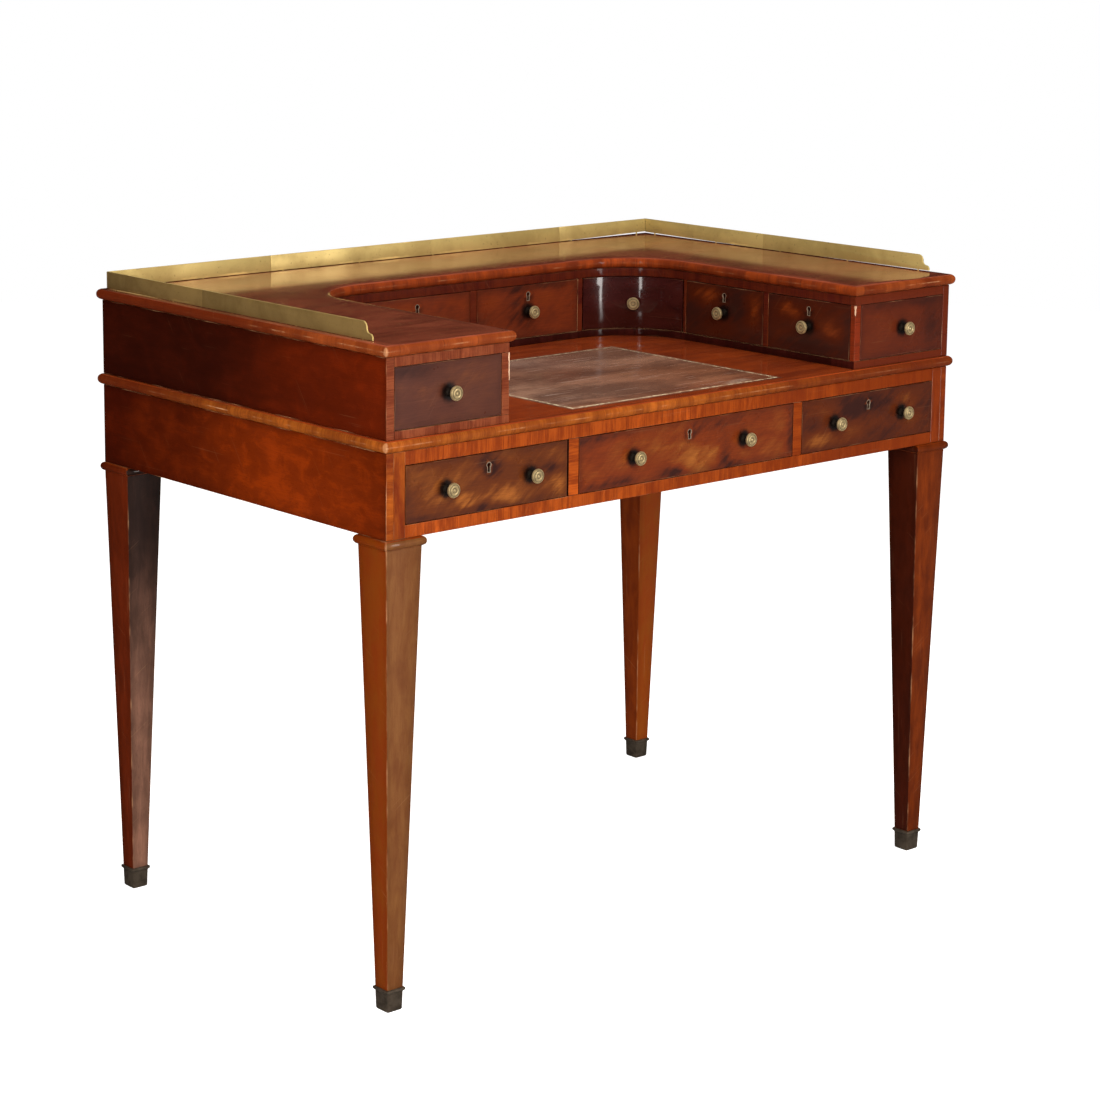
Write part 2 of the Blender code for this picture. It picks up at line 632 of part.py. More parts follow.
def build_upper_case():
    """The U-shaped case round the writing space, with its partitions and its moulded top."""
    low_z, high_z = UPPER_OPENING_LOW_Z, UPPER_OPENING_HIGH_Z
    board = u_outline(UPPER_INSIDE_X - HALF_GAP, UPPER_INSIDE_Y - HALF_GAP, FRONT_Y + HALF_GAP, -HALF_GAP)
    mesh = outline_mesh("upper_floor", [board], UPPER_FLOOR_THICKNESS - JOINT_GAP)
    mesh.transform(Matrix.Translation((0.0, 0.0, DESK_TOP_Z + UPPER_FLOOR_THICKNESS / 2)))
    floor = add_piece("upper_floor", mesh, CROSSBANDED_MAHOGANY)
    guides = bmesh.new()
    for side_x in (-1, 1):
        for box in both_sides(corner_guide_box()):
            first = len(guides.verts)
            put_box(guides, *box)
            guides.verts.ensure_lookup_table()
            bmesh.ops.transform(guides, matrix=corner_frame(side_x), verts=guides.verts[first:])
    combine(floor, add_cutter("corner_guides", mesh_from(guides, "corner_guides")), "UNION")
    dowel_ends = (DESK_TOP_Z - DOWEL_LENGTH, DESK_TOP_Z + UPPER_FLOOR_THICKNESS / 2)
    pins = pin_cutter("upper_floor_dowels", dowels(), DOWEL_DIAMETER / 2, dowel_ends, DOWEL_SIDES)
    combine(floor, pins, "UNION")
    mesh = outline_mesh("upper_ceiling", [board], UPPER_CEILING_THICKNESS - JOINT_GAP)
    ceiling = add_piece("upper_ceiling", mesh, CROSSBANDED_MAHOGANY)
    ceiling.location.z = UPPER_TOP_Z - UPPER_CEILING_THICKNESS / 2
    side = ((UPPER_INSIDE_X, FRONT_Y, DESK_TOP_Z), (SIDE_X, BACK_Y, UPPER_TOP_Z))
    add_boards("upper_side_right", [side], MAHOGANY)
    add_boards("upper_side_left", [mirrored_x(side)], MAHOGANY)
    back = ((-UPPER_INSIDE_X, UPPER_INSIDE_Y, DESK_TOP_Z), (UPPER_INSIDE_X, BACK_Y, UPPER_TOP_Z))
    add_boards("upper_back", [back], MAHOGANY)

    half_centre = CENTRE_PARTITION_THICKNESS / 2
    centre = ((-half_centre, ROW_FACE_Y, low_z), (half_centre, UPPER_INSIDE_Y, high_z))
    add_boards("row_partition_centre", [centre], CROSSBANDED_MAHOGANY)
    row_end_x = CORNER_X - ROW_END_PARTITION_THICKNESS
    corner_low_y = CORNER_Y - CORNER_PARTITION_THICKNESS
    arm_high_y = REAR_OPENING_Y - ARM_OPENING_WIDTH / 2
    arm_low_y = arm_high_y - ARM_PARTITION_THICKNESS
    for name, box in (
        ("row_partition", ((row_end_x, ROW_FACE_Y, low_z), (CORNER_X, UPPER_INSIDE_Y, high_z))),
        ("corner_partition", ((ARM_FACE_X, corner_low_y, low_z), (UPPER_INSIDE_X, CORNER_Y, high_z))),
        ("arm_partition", ((ARM_FACE_X, arm_low_y, low_z), (UPPER_INSIDE_X, arm_high_y, high_z))),
    ):
        add_boards(name + "_right", [box], CROSSBANDED_MAHOGANY)
        add_boards(name + "_left", [mirrored_x(box)], CROSSBANDED_MAHOGANY)
    build_arm_ends(low_z, high_z)

    lip = NOSING_OVERHANG
    board = u_outline(SIDE_X + lip, BACK_Y + lip, FRONT_Y - lip, lip)
    mesh = outline_mesh("upper_top", [board], BOARD_THICKNESS - JOINT_GAP, NOSING_RADIUS)
    top = add_piece("upper_top", mesh, MAHOGANY)
    top.location.z = UPPER_TOP_Z + BOARD_THICKNESS / 2
    hole_ends = (BOARD_TOP_Z - GALLERY_PEG_DEPTH - HALF_GAP, BOARD_TOP_Z + CUT_OVERRUN)
    hole_radius = GALLERY_PEG_DIAMETER / 2 + JOINT_GAP
    holes = pin_cutter("upper_top_holes", gallery_pegs(), hole_radius, hole_ends, PEG_SIDES)
    combine(top, holes, "DIFFERENCE")


def build_arm_ends(low_z, high_z):
    """The front ends of the arms: a corner post and a false drawer front, with its knob."""
    end_y = FRONT_Y + ARM_END_THICKNESS
    post_x = ARM_FACE_X + ARM_POST_WIDTH
    board = ((ARM_FACE_X, FRONT_Y, low_z), (UPPER_INSIDE_X, end_y, high_z))
    groove = (
        (post_x, FRONT_Y - CUT_OVERRUN, low_z - CUT_OVERRUN),
        (post_x + FRONT_GAP, FRONT_Y + FALSE_FRONT_GROOVE_DEPTH, high_z + CUT_OVERRUN),
    )
    middle_x = (post_x + UPPER_INSIDE_X) / 2
    middle_z = (low_z + high_z) / 2
    for side_name, side_x in (("left", -1), ("right", 1)):
        sided = [box if side_x > 0 else mirrored_x(box) for box in (board, groove)]
        end = add_boards("arm_end_" + side_name, sided[:1], FLAME_MAHOGANY)
        combine(end, boxes_cutter(end.name + "_groove", sided[1:]), "DIFFERENCE")
        place = (side_x * middle_x, FRONT_Y + HALF_GAP, middle_z)
        hole = bmesh.new()
        put_knob_hole(hole, place)
        combine(end, add_cutter(end.name + "_hole", mesh_from(hole, "hole")), "DIFFERENCE")
        add_knob(end.name + "_knob", place)


def corner_frame(side_x):
    """The frame of a corner drawer: its face looks out along the diagonal."""
    reach = CORNER_RADIUS * DIAGONAL
    place = Vector((side_x * (CORNER_X + reach), CORNER_Y + reach, 0.0))
    return Matrix.Translation(place) @ Matrix.Rotation(math.radians(-45 * side_x), 4, "Z")


def add_knob(name, place, parent=None):
    """Add a brass knob with its axis along -Y and its base on a face at a place."""
    knob = add_piece(name, KNOB_MESH.copy(), BRASS, parent)
    knob.location = place
    knob.rotation_euler.x = math.radians(90)


def put_knob_hole(bm, place):
    """Add the hole for a knob's shank to a bmesh of cutters."""
    depth = KNOB_SHANK_LENGTH + JOINT_GAP + CUT_OVERRUN
    middle = Vector(place) + Vector((0.0, depth / 2 - CUT_OVERRUN, 0.0))
    radius = KNOB_SHANK_DIAMETER / 2 + JOINT_GAP
    turn = Matrix.Translation(middle) @ Matrix.Rotation(math.radians(90), 4, "X")
    bmesh.ops.create_cone(
        bm, cap_ends=True, segments=HOLE_SIDES, radius1=radius, radius2=radius, depth=depth, matrix=turn
    )


def put_keyhole(bm, rise):
    """Add the cutter of a keyhole to a bmesh, on the centre line of a drawer's face."""
    depth = KEYHOLE_DEPTH + CUT_OVERRUN
    mesh = outline_mesh("keyhole", [keyhole_outline()], depth)
    place = Matrix.Translation((0.0, KEYHOLE_DEPTH - depth / 2, rise))
    mesh.transform(place @ Matrix.Rotation(math.radians(90), 4, "X"))
    bm.from_mesh(mesh)


def knob_mesh():
    """A turned brass knob along +Z with its face at the top and a shank below its base."""
    head_radius = KNOB_DIAMETER / 2
    profile = [
        (head_radius * radius_share, KNOB_PROJECTION - KNOB_HEAD_THICKNESS * depth_share)
        for radius_share, depth_share in KNOB_HEAD_SHARES
    ]
    profile += [
        (KNOB_STEM_DIAMETER / 2, KNOB_PROJECTION - KNOB_HEAD_THICKNESS),
        (KNOB_STEM_DIAMETER / 2, KNOB_BASE_THICKNESS),
        (KNOB_BASE_DIAMETER / 2, KNOB_BASE_THICKNESS),
        (KNOB_BASE_DIAMETER / 2, JOINT_GAP),
        (KNOB_SHANK_DIAMETER / 2, JOINT_GAP),
        (KNOB_SHANK_DIAMETER / 2, -KNOB_SHANK_LENGTH),
        (0.0, -KNOB_SHANK_LENGTH),
    ]
    return turned_mesh("knob", profile, KNOB_SIDES)


def drawer_empty(name, place, turn):
    """An empty on a drawer's line of travel, at the middle of its face, with -Y outward."""
    empty = bpy.data.objects.new(name + "_slide", None)
    empty.empty_display_type = "SINGLE_ARROW"
    empty.empty_display_size = CASE_BACK_THICKNESS
    DESK.objects.link(empty)
    empty.location = place
    empty.rotation_euler.z = math.radians(turn)
    return empty


def straight_front(name, width, height, thickness):
    """A flat drawer front about the middle of its face."""
    bm = bmesh.new()
    half_width = width / 2 - FRONT_GAP
    half_height = height / 2 - FRONT_GAP
    put_box(bm, (-half_width, 0.0, -half_height), (half_width, thickness, half_height))
    return mesh_from(bm, name)


def straight_box(name, width, height, thickness, depth):
    """The block that a straight drawer's box is hollowed from, lapped into its front."""
    bm = bmesh.new()
    half_width = width / 2 - SLIDE_PLAY
    low = (-half_width, thickness - DRAWER_LAP, HALF_GAP - height / 2)
    put_box(bm, low, (half_width, depth, height / 2 - DRAWER_TOP_CLEARANCE))
    return mesh_from(bm, name)


def concave_front(name, height, thickness):
    """A drawer front curved to the corner, its ends cut along the line of travel."""
    half_width = CORNER_RADIUS * DIAGONAL - FRONT_GAP
    centre = (0.0, -CORNER_RADIUS)
    outline = []
    for radius, towards in ((CORNER_RADIUS, 1), (CORNER_RADIUS + thickness, -1)):
        reach = math.degrees(math.asin(half_width / radius))
        outline += arc(centre, radius, 90 + towards * reach, 90 - towards * reach, CORNER_STEPS)
    return outline_mesh(name, [outline], height - 2 * FRONT_GAP)


def concave_box(name, height, thickness):
    """The block that a corner drawer's box is hollowed from, its front edge round the curve."""
    half_width = CORNER_BOX_WIDTH / 2
    radius = CORNER_RADIUS + thickness - DRAWER_LAP
    reach = math.degrees(math.asin(half_width / radius))
    outline = arc((0.0, -CORNER_RADIUS), radius, 90 + reach, 90 - reach, CORNER_STEPS)
    outline += [(half_width, CORNER_BOX_DEPTH), (-half_width, CORNER_BOX_DEPTH)]
    mesh = outline_mesh(name, [outline], height - HALF_GAP - DRAWER_TOP_CLEARANCE)
    mesh.transform(Matrix.Translation((0.0, 0.0, (HALF_GAP - DRAWER_TOP_CLEARANCE) / 2)))
    return mesh


def hollow_boxes(half_width, near_y, far_y, height):
    """What is taken out of a drawer's block: its inside, and the space under its bottom."""
    low_z = DRAWER_BOTTOM_RISE - height / 2
    inside = ((-half_width, near_y, low_z + DRAWER_BOTTOM_THICKNESS), (half_width, far_y, height))
    under = ((-half_width, near_y, -height), (half_width, far_y + CASE_BACK_THICKNESS, low_z))
    return [inside, under]


def add_drawer(name, empty, front_mesh, box_mesh, hollow, knob_places, keyhole_rise):
    """Add a drawer on its empty: its front joined to its hollowed box, and its knobs.

    The knobs are at (x, y) places, y being how far their base stands into the front.
    """
    drawer = add_piece(name + "_drawer", front_mesh, FLAME_MAHOGANY, empty)
    soften(drawer)
    box = add_cutter(name + "_box", box_mesh, empty)
    bm = bmesh.new()
    for low, high in hollow:
        put_box(bm, low, high)
    combine(box, add_cutter(name + "_hollow", mesh_from(bm, "hollow"), empty), "DIFFERENCE")
    combine(drawer, box, "UNION")
    holes = bmesh.new()
    for x, y in knob_places:
        put_knob_hole(holes, (x, y, 0.0))
    if keyhole_rise is not None:
        put_keyhole(holes, keyhole_rise)
    combine(drawer, add_cutter(name + "_holes", mesh_from(holes, "holes"), empty), "DIFFERENCE")
    sides = ("",) if len(knob_places) == 1 else ("_left", "_right")
    for side, (x, y) in zip(sides, knob_places):
        add_knob(name + "_knob" + side, (x, y, 0.0), empty)


def add_straight_drawer(name, place, turn, size, thickness, wall, knob_places, keyhole_rise):
    """Add a drawer with a flat front and a box of (width, height, depth) for its opening."""
    width, height, depth = size
    empty = drawer_empty(name, place, turn)
    front = straight_front(name, width, height, thickness)
    block = straight_box(name, width, height, thickness, depth)
    hollow = hollow_boxes(width / 2 - SLIDE_PLAY - wall, thickness, depth - wall, height)
    add_drawer(name, empty, front, block, hollow, knob_places, keyhole_rise)


def build_drawers():
    """Three frieze drawers, and eight in the upper case."""
    height = FRIEZE_OPENING_HIGH_Z - FRIEZE_OPENING_LOW_Z
    middle_z = (FRIEZE_OPENING_HIGH_Z + FRIEZE_OPENING_LOW_Z) / 2
    depth = CASE_DEPTH - CASE_BACK_THICKNESS - FRIEZE_BACK_CLEARANCE
    for name, x, width, spread in (
        ("frieze_left", -SIDE_OPENING_X, SIDE_OPENING_WIDTH, SIDE_KNOB_SPREAD),
        ("frieze_centre", 0.0, CENTRE_OPENING_WIDTH, CENTRE_KNOB_SPREAD),
        ("frieze_right", SIDE_OPENING_X, SIDE_OPENING_WIDTH, SIDE_KNOB_SPREAD),
    ):
        place = (x, FRONT_Y, middle_z)
        size = (width, height, depth)
        knobs = ((-spread / 2, 0.0), (spread / 2, 0.0))
        thickness = FRIEZE_FRONT_THICKNESS
        add_straight_drawer(name, place, 0, size, thickness, FRIEZE_WALL, knobs, FRIEZE_KEYHOLE_RISE)

    height = UPPER_OPENING_HIGH_Z - UPPER_OPENING_LOW_Z
    middle_z = (UPPER_OPENING_HIGH_Z + UPPER_OPENING_LOW_Z) / 2
    row_size = (ROW_OPENING_WIDTH, height, UPPER_INSIDE_Y - ROW_FACE_Y - UPPER_BACK_CLEARANCE)
    arm_size = (ARM_OPENING_WIDTH, height, UPPER_INSIDE_X - ARM_FACE_X - UPPER_BACK_CLEARANCE)
    for side_name, side_x in (("left", -1), ("right", 1)):
        face_x = side_x * ARM_FACE_X
        for name, place, turn, size in (
            (f"row_{side_name}", (side_x * ROW_OPENING_X, ROW_FACE_Y, middle_z), 0, row_size),
            (f"arm_{side_name}_rear", (face_x, REAR_OPENING_Y, middle_z), -90 * side_x, arm_size),
            (f"arm_{side_name}_fore", (face_x, FORE_OPENING_Y, middle_z), -90 * side_x, arm_size),
        ):
            thickness = UPPER_FRONT_THICKNESS
            knobs = ((0.0, 0.0),)
            add_straight_drawer(name, place, turn, size, thickness, UPPER_WALL, knobs, UPPER_KEYHOLE_RISE)

        name = f"corner_{side_name}"
        place = corner_frame(side_x).translation + Vector((0.0, 0.0, middle_z))
        empty = drawer_empty(name, place, -45 * side_x)
        front = concave_front(name, height, UPPER_FRONT_THICKNESS)
        block = concave_box(name, height, UPPER_FRONT_THICKNESS)
        inside_x = CORNER_BOX_WIDTH / 2 - UPPER_WALL
        hollow = hollow_boxes(inside_x, -CORNER_RADIUS, CORNER_BOX_DEPTH - UPPER_WALL, height)
        knobs = ((0.0, -CORNER_KNOB_STANDOFF),)
        add_drawer(name, empty, front, block, hollow, knobs, None)


def ogee_end(front_y, foot_z):
    """The outline of a gallery strip's front end: a round toe, a hollow and a round shoulder."""
    height = GALLERY_HEIGHT - JOINT_GAP
    toe, hollow, shoulder = (height * share for share in GALLERY_OGEE_SHARES)
    outline = arc((front_y + toe, foot_z), toe, 180, 90, OGEE_STEPS)
    outline += arc((front_y + toe, foot_z + toe + hollow), hollow, -90, 0, OGEE_STEPS)[1:]
    shoulder_centre = (front_y + toe + hollow + shoulder, foot_z + toe + hollow)
    outline += arc(shoulder_centre, shoulder, 180, 90, OGEE_STEPS)[1:]
    return outline


def build_gallery():
    """The low brass gallery: a strip along the back and one with an ogee end on each side."""
    outer_x, outer_y = GALLERY_OUTER_X, GALLERY_OUTER_Y
    back_face_y = outer_y - GALLERY_THICKNESS
    foot_z = BOARD_TOP_Z + GALLERY_FOOT_GAP
    top_z = foot_z + GALLERY_HEIGHT

    name = "gallery"
    gallery = add_boards(name, [((-outer_x, back_face_y, foot_z), (outer_x, outer_y, top_z))], BRASS)
    end_y = outer_y - HALF_GAP
    outline = ogee_end(GALLERY_FRONT_Y, foot_z + HALF_GAP)
    outline += [(end_y, top_z - HALF_GAP), (end_y, foot_z + HALF_GAP)]
    for side_x in (-1, 1):
        middle_x = side_x * (outer_x - GALLERY_THICKNESS / 2)
        half_strip = GALLERY_THICKNESS / 2 - HALF_GAP
        mesh = upright_mesh(name, outline, middle_x - half_strip, middle_x + half_strip)
        combine(gallery, add_cutter(name + "_strip", mesh), "UNION")
    low_z = BOARD_TOP_Z - GALLERY_PEG_DEPTH + HALF_GAP
    peg_ends = (low_z, foot_z + GALLERY_HEIGHT / 3)
    pins = pin_cutter(name + "_pegs", gallery_pegs(), GALLERY_PEG_DIAMETER / 2, peg_ends, PEG_SIDES)
    combine(gallery, pins, "UNION")


clear_scene()
DESK = new_collection("carlton_house_desk")
CUTTERS = new_collection("cutters")
KNOB_MESH = knob_mesh()
build_legs()
build_frieze_case()
build_writing_top()
build_upper_case()
build_drawers()
build_gallery()
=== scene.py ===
"""Carlton House writing desk in polished mahogany, with brass and leather.

Each operator builds one piece, or one group of like pieces, over the desk's frame and gives it
its finish. The sizes and colours are in the scene's desk settings.
"""

import json
import math

import bmesh
import bpy
from bpy.props import FloatProperty, FloatVectorProperty, PointerProperty
from mathutils import Matrix, Vector

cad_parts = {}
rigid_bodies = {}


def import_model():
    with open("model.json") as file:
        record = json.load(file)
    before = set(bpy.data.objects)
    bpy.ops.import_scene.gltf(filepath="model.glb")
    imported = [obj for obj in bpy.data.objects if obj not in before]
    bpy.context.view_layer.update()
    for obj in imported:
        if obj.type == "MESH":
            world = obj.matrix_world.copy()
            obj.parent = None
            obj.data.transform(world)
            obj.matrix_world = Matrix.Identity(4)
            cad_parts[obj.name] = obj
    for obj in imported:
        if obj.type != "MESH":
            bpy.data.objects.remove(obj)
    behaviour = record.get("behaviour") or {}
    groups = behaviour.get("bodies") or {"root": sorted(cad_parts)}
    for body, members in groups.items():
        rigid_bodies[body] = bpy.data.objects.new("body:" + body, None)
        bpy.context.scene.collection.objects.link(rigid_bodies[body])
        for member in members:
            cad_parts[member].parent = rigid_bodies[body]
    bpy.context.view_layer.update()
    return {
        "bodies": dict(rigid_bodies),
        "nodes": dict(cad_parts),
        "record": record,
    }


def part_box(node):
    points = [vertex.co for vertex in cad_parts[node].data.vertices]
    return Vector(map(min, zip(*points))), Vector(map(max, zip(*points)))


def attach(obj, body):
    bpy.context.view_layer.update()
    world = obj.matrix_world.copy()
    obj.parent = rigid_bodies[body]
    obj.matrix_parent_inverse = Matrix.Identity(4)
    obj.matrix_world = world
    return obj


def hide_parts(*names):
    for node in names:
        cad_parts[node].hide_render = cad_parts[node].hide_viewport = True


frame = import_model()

bl_info = {
    "name": "Carlton House Desk",
    "version": (1, 0, 0),
    "blender": (4, 5, 0),
    "location": "3D View > Sidebar > Desk",
    "description": "Builds a Carlton House writing desk, piece by piece",
    "category": "Object",
}

AXES = (Vector((1.0, 0.0, 0.0)), Vector((0.0, 1.0, 0.0)), Vector((0.0, 0.0, 1.0)))
X, Y, Z = range(3)
SIDES = (("left", -1), ("right", 1))
VENEER_MAPS = ("veneer", "span", "extent")
PLAY = 0.00015  # What each piece keeps clear of its neighbour, in metres.
SQUARE_ON = 0.7  # A face faces a side when its normal has at least this much towards it.

# Light and dark patches in the figure of each drawer front: place along and up the front as
# shares of its size, reach along and up, and strength. Positive is golden, negative is dark.
FIGURE_PATCHES = {
    "frieze_left": (
        (0.35, 0.22, 0.07, 0.14, 0.9), (0.5, 0.27, 0.12, 0.13, 0.6), (0.64, 0.14, 0.07, 0.14, 0.9),
        (0.94, 0.25, 0.05, 0.24, 0.7), (0.11, 0.62, 0.14, 0.34, 0.1), (0.14, 0.28, 0.08, 0.12, 0.5),
        (0.07, 0.08, 0.1, 0.13, -0.9), (0.45, 0.04, 0.08, 0.1, -1.0), (0.58, 0.02, 0.05, 0.07, -0.8),
        (0.9, 0.55, 0.08, 0.14, -0.7), (0.5, 0.76, 0.07, 0.24, -0.9), (0.76, 0.1, 0.1, 0.12, -0.4),
    ),
    "frieze_centre": (
        (0.52, 0.25, 0.06, 0.26, 1.0), (0.62, 0.36, 0.04, 0.22, 0.6), (0.42, 0.58, 0.09, 0.07, 0.4),
        (0.85, 0.22, 0.12, 0.15, 0.15), (0.88, 0.62, 0.08, 0.15, 0.15), (0.26, 0.6, 0.16, 0.3, 0.35),
        (0.18, 0.08, 0.06, 0.1, -1.0), (0.06, 0.06, 0.06, 0.1, -0.7), (0.43, 0.08, 0.07, 0.1, -1.1),
        (0.67, 0.14, 0.03, 0.26, -0.9), (0.76, 0.04, 0.1, 0.07, -0.7), (0.1, 0.93, 0.14, 0.09, -0.7),
        (0.6, 0.86, 0.18, 0.12, -0.5), (0.51, 0.75, 0.03, 0.2, -0.5), (0.99, 0.5, 0.02, 0.6, -0.7),
    ),
    "frieze_right": (
        (0.12, 0.2, 0.1, 0.17, 1.0), (0.22, 0.74, 0.08, 0.13, 0.4), (0.38, 0.3, 0.1, 0.15, 0.4),
        (0.8, 0.8, 0.07, 0.13, 0.6), (0.82, 0.33, 0.06, 0.11, 0.6), (0.08, 0.48, 0.07, 0.12, -0.7),
        (0.4, 0.74, 0.12, 0.24, -1.2), (0.58, 0.76, 0.12, 0.15, -0.7), (0.6, 0.14, 0.2, 0.15, -0.4),
        (0.95, 0.5, 0.05, 0.5, -0.4), (0.5, 0.5, 5.0, 5.0, -0.2),
    ),
    "row_left": (
        (0.3, 0.45, 0.3, 0.4, 0.4), (0.75, 0.72, 0.2, 0.3, -0.2),
    ),
    "row_right": (
        (0.12, 0.76, 0.13, 0.16, 0.5), (0.68, 0.74, 0.13, 0.16, 0.4), (0.8, 0.25, 0.15, 0.15, 0.2),
        (0.42, 0.5, 0.16, 0.3, -0.5), (0.5, 0.95, 0.4, 0.08, -0.5), (0.5, 0.5, 5.0, 5.0, -0.15),
    ),
    "arm_right_rear": (
        (0.25, 0.8, 0.24, 0.15, 0.8), (0.9, 0.7, 0.08, 0.26, 0.8), (0.6, 0.3, 0.12, 0.12, 0.3),
        (0.66, 0.62, 0.1, 0.36, -0.9), (0.08, 0.25, 0.22, 0.32, -0.8), (0.9, 0.1, 0.2, 0.12, -0.5),
        (0.5, 0.5, 5.0, 5.0, -0.2),
    ),
    "arm_right_fore": (
        (0.25, 0.76, 0.16, 0.16, 0.7), (0.8, 0.48, 0.15, 0.15, 0.7), (0.08, 0.92, 0.1, 0.1, -0.6),
        (0.55, 0.12, 0.36, 0.15, -1.0), (0.45, 0.5, 0.1, 0.2, -0.4), (0.97, 0.6, 0.05, 0.5, -0.5),
        (0.5, 0.5, 5.0, 5.0, -0.2),
    ),
    "arm_end_left": (
        (0.1, 0.92, 0.3, 0.13, -0.9), (0.7, 0.7, 0.25, 0.2, 0.15), (0.25, 0.25, 0.3, 0.2, -0.2),
    ),
    "arm_end_right": (
        (0.25, 0.5, 0.3, 0.4, 0.15), (0.88, 0.5, 0.14, 0.6, -0.7), (0.5, 0.95, 0.6, 0.1, -0.6),
    ),
}
PLAIN_PATCHES = ((0.35, 0.6, 0.25, 0.35, 0.35), (0.75, 0.25, 0.25, 0.25, -0.4))


# Sizes in metres of what the frame doesn't give, as (description, value).
SIZES = {
    "edge_round": ("Rounding of sawn and veneered edges", 0.0007),
    "leg_corner": ("Rounding of a leg's corners", 0.0011),
    "collar_height": ("Height of the bead at the top of a leg", 0.012),
    "collar_projection": ("How far that bead stands out", 0.005),
    "leg_top_side": ("Side of a leg under its collar", 0.058),
    "leg_foot_side": ("Side of a leg over its cap", 0.026),
    "cap_height": ("Height of a brass foot cap", 0.031),
    "nosing_radius": ("Rounding of the moulded boards", 0.0072),
    "band_width": ("Crossbanding on top of the moulded boards", 0.019),
    "band_piece": ("Usual length of one piece of crossbanding", 0.062),
    "case_half": ("From the desk's middle to the outside of its case", 0.528),
    "panel_thickness": ("Thickness of the case's side panels", 0.012),
    "post_inner": ("From the desk's middle to the inner face of a case post", 0.4975),
    "post_depth": ("Depth of a case post", 0.058),
    "back_inset": ("How far the back posts stop before the back", 0.0122),
    "runner_reach": ("How far a runner stands out past the posts", 0.016),
    "runner_height": ("Height of a runner", 0.017),
    "guide_height": ("Height of the guide over a side's foot", 0.041),
    "kicker_height": ("Height of the batten over a drawer", 0.0185),
    "divider_half": ("Half the thickness of a frieze divider", 0.00885),
    "divider_depth": ("Depth of the divider between two fronts", 0.055),
    "opening_foot": ("Height of the frieze drawers' openings over the floor", 0.647),
    "opening_head": ("Height of their tops over the floor", 0.7235),
    "leg_height": ("Height of a leg with its collar", 0.63),
    "post_width": ("Width of the post at the inner corner of an arm", 0.012),
    "front_gap": ("Gap round a drawer front", 0.0008),
    "wide_gap": ("Gap at the right of the left frieze drawer", 0.0026),
    "frieze_front": ("Thickness of a frieze drawer's front", 0.018),
    "upper_front": ("Thickness of an upper drawer's front", 0.012),
    "frieze_wall": ("Thickness of a frieze drawer's sides", 0.009),
    "upper_wall": ("Thickness of an upper drawer's sides", 0.007),
    "box_drop": ("How far a drawer's sides stay below its front", 0.004),
    "bottom_rise": ("Height of a drawer's bottom over its sides' feet", 0.004),
    "bottom_thickness": ("Thickness of a drawer's bottom board", 0.005),
    "corner_radius": ("Radius of the concave inner corners", 0.108),
    "corner_box_width": ("Width of a corner drawer's box", 0.132),
    "corner_box_depth": ("Depth of a corner drawer", 0.19),
    "knob_diameter": ("Diameter of a brass knob", 0.0195),
    "knob_projection": ("How far a knob stands off its front", 0.0175),
    "frieze_keyhole_rise": ("Keyhole's height over a frieze front's middle", 0.0185),
    "upper_keyhole_rise": ("Keyhole's height over an upper front's middle", 0.0225),
    "keyhole_height": ("Height of a keyhole's brass thread", 0.0142),
    "keyhole_eye": ("Diameter of its round eye", 0.0082),
    "keyhole_tail": ("Width of its straight tail", 0.0058),
    "thread_width": ("Width of a keyhole's brass thread", 0.0007),
    "tooling_inset": ("How far the tooled line lies inside the leather's edge", 0.007),
    "gallery_gap": ("Gap between two lengths of gallery", 0.0003),
    "gallery_height": ("Height of the brass strip", 0.0207),
    "gallery_thickness": ("Thickness of the brass strip", 0.0024),
}

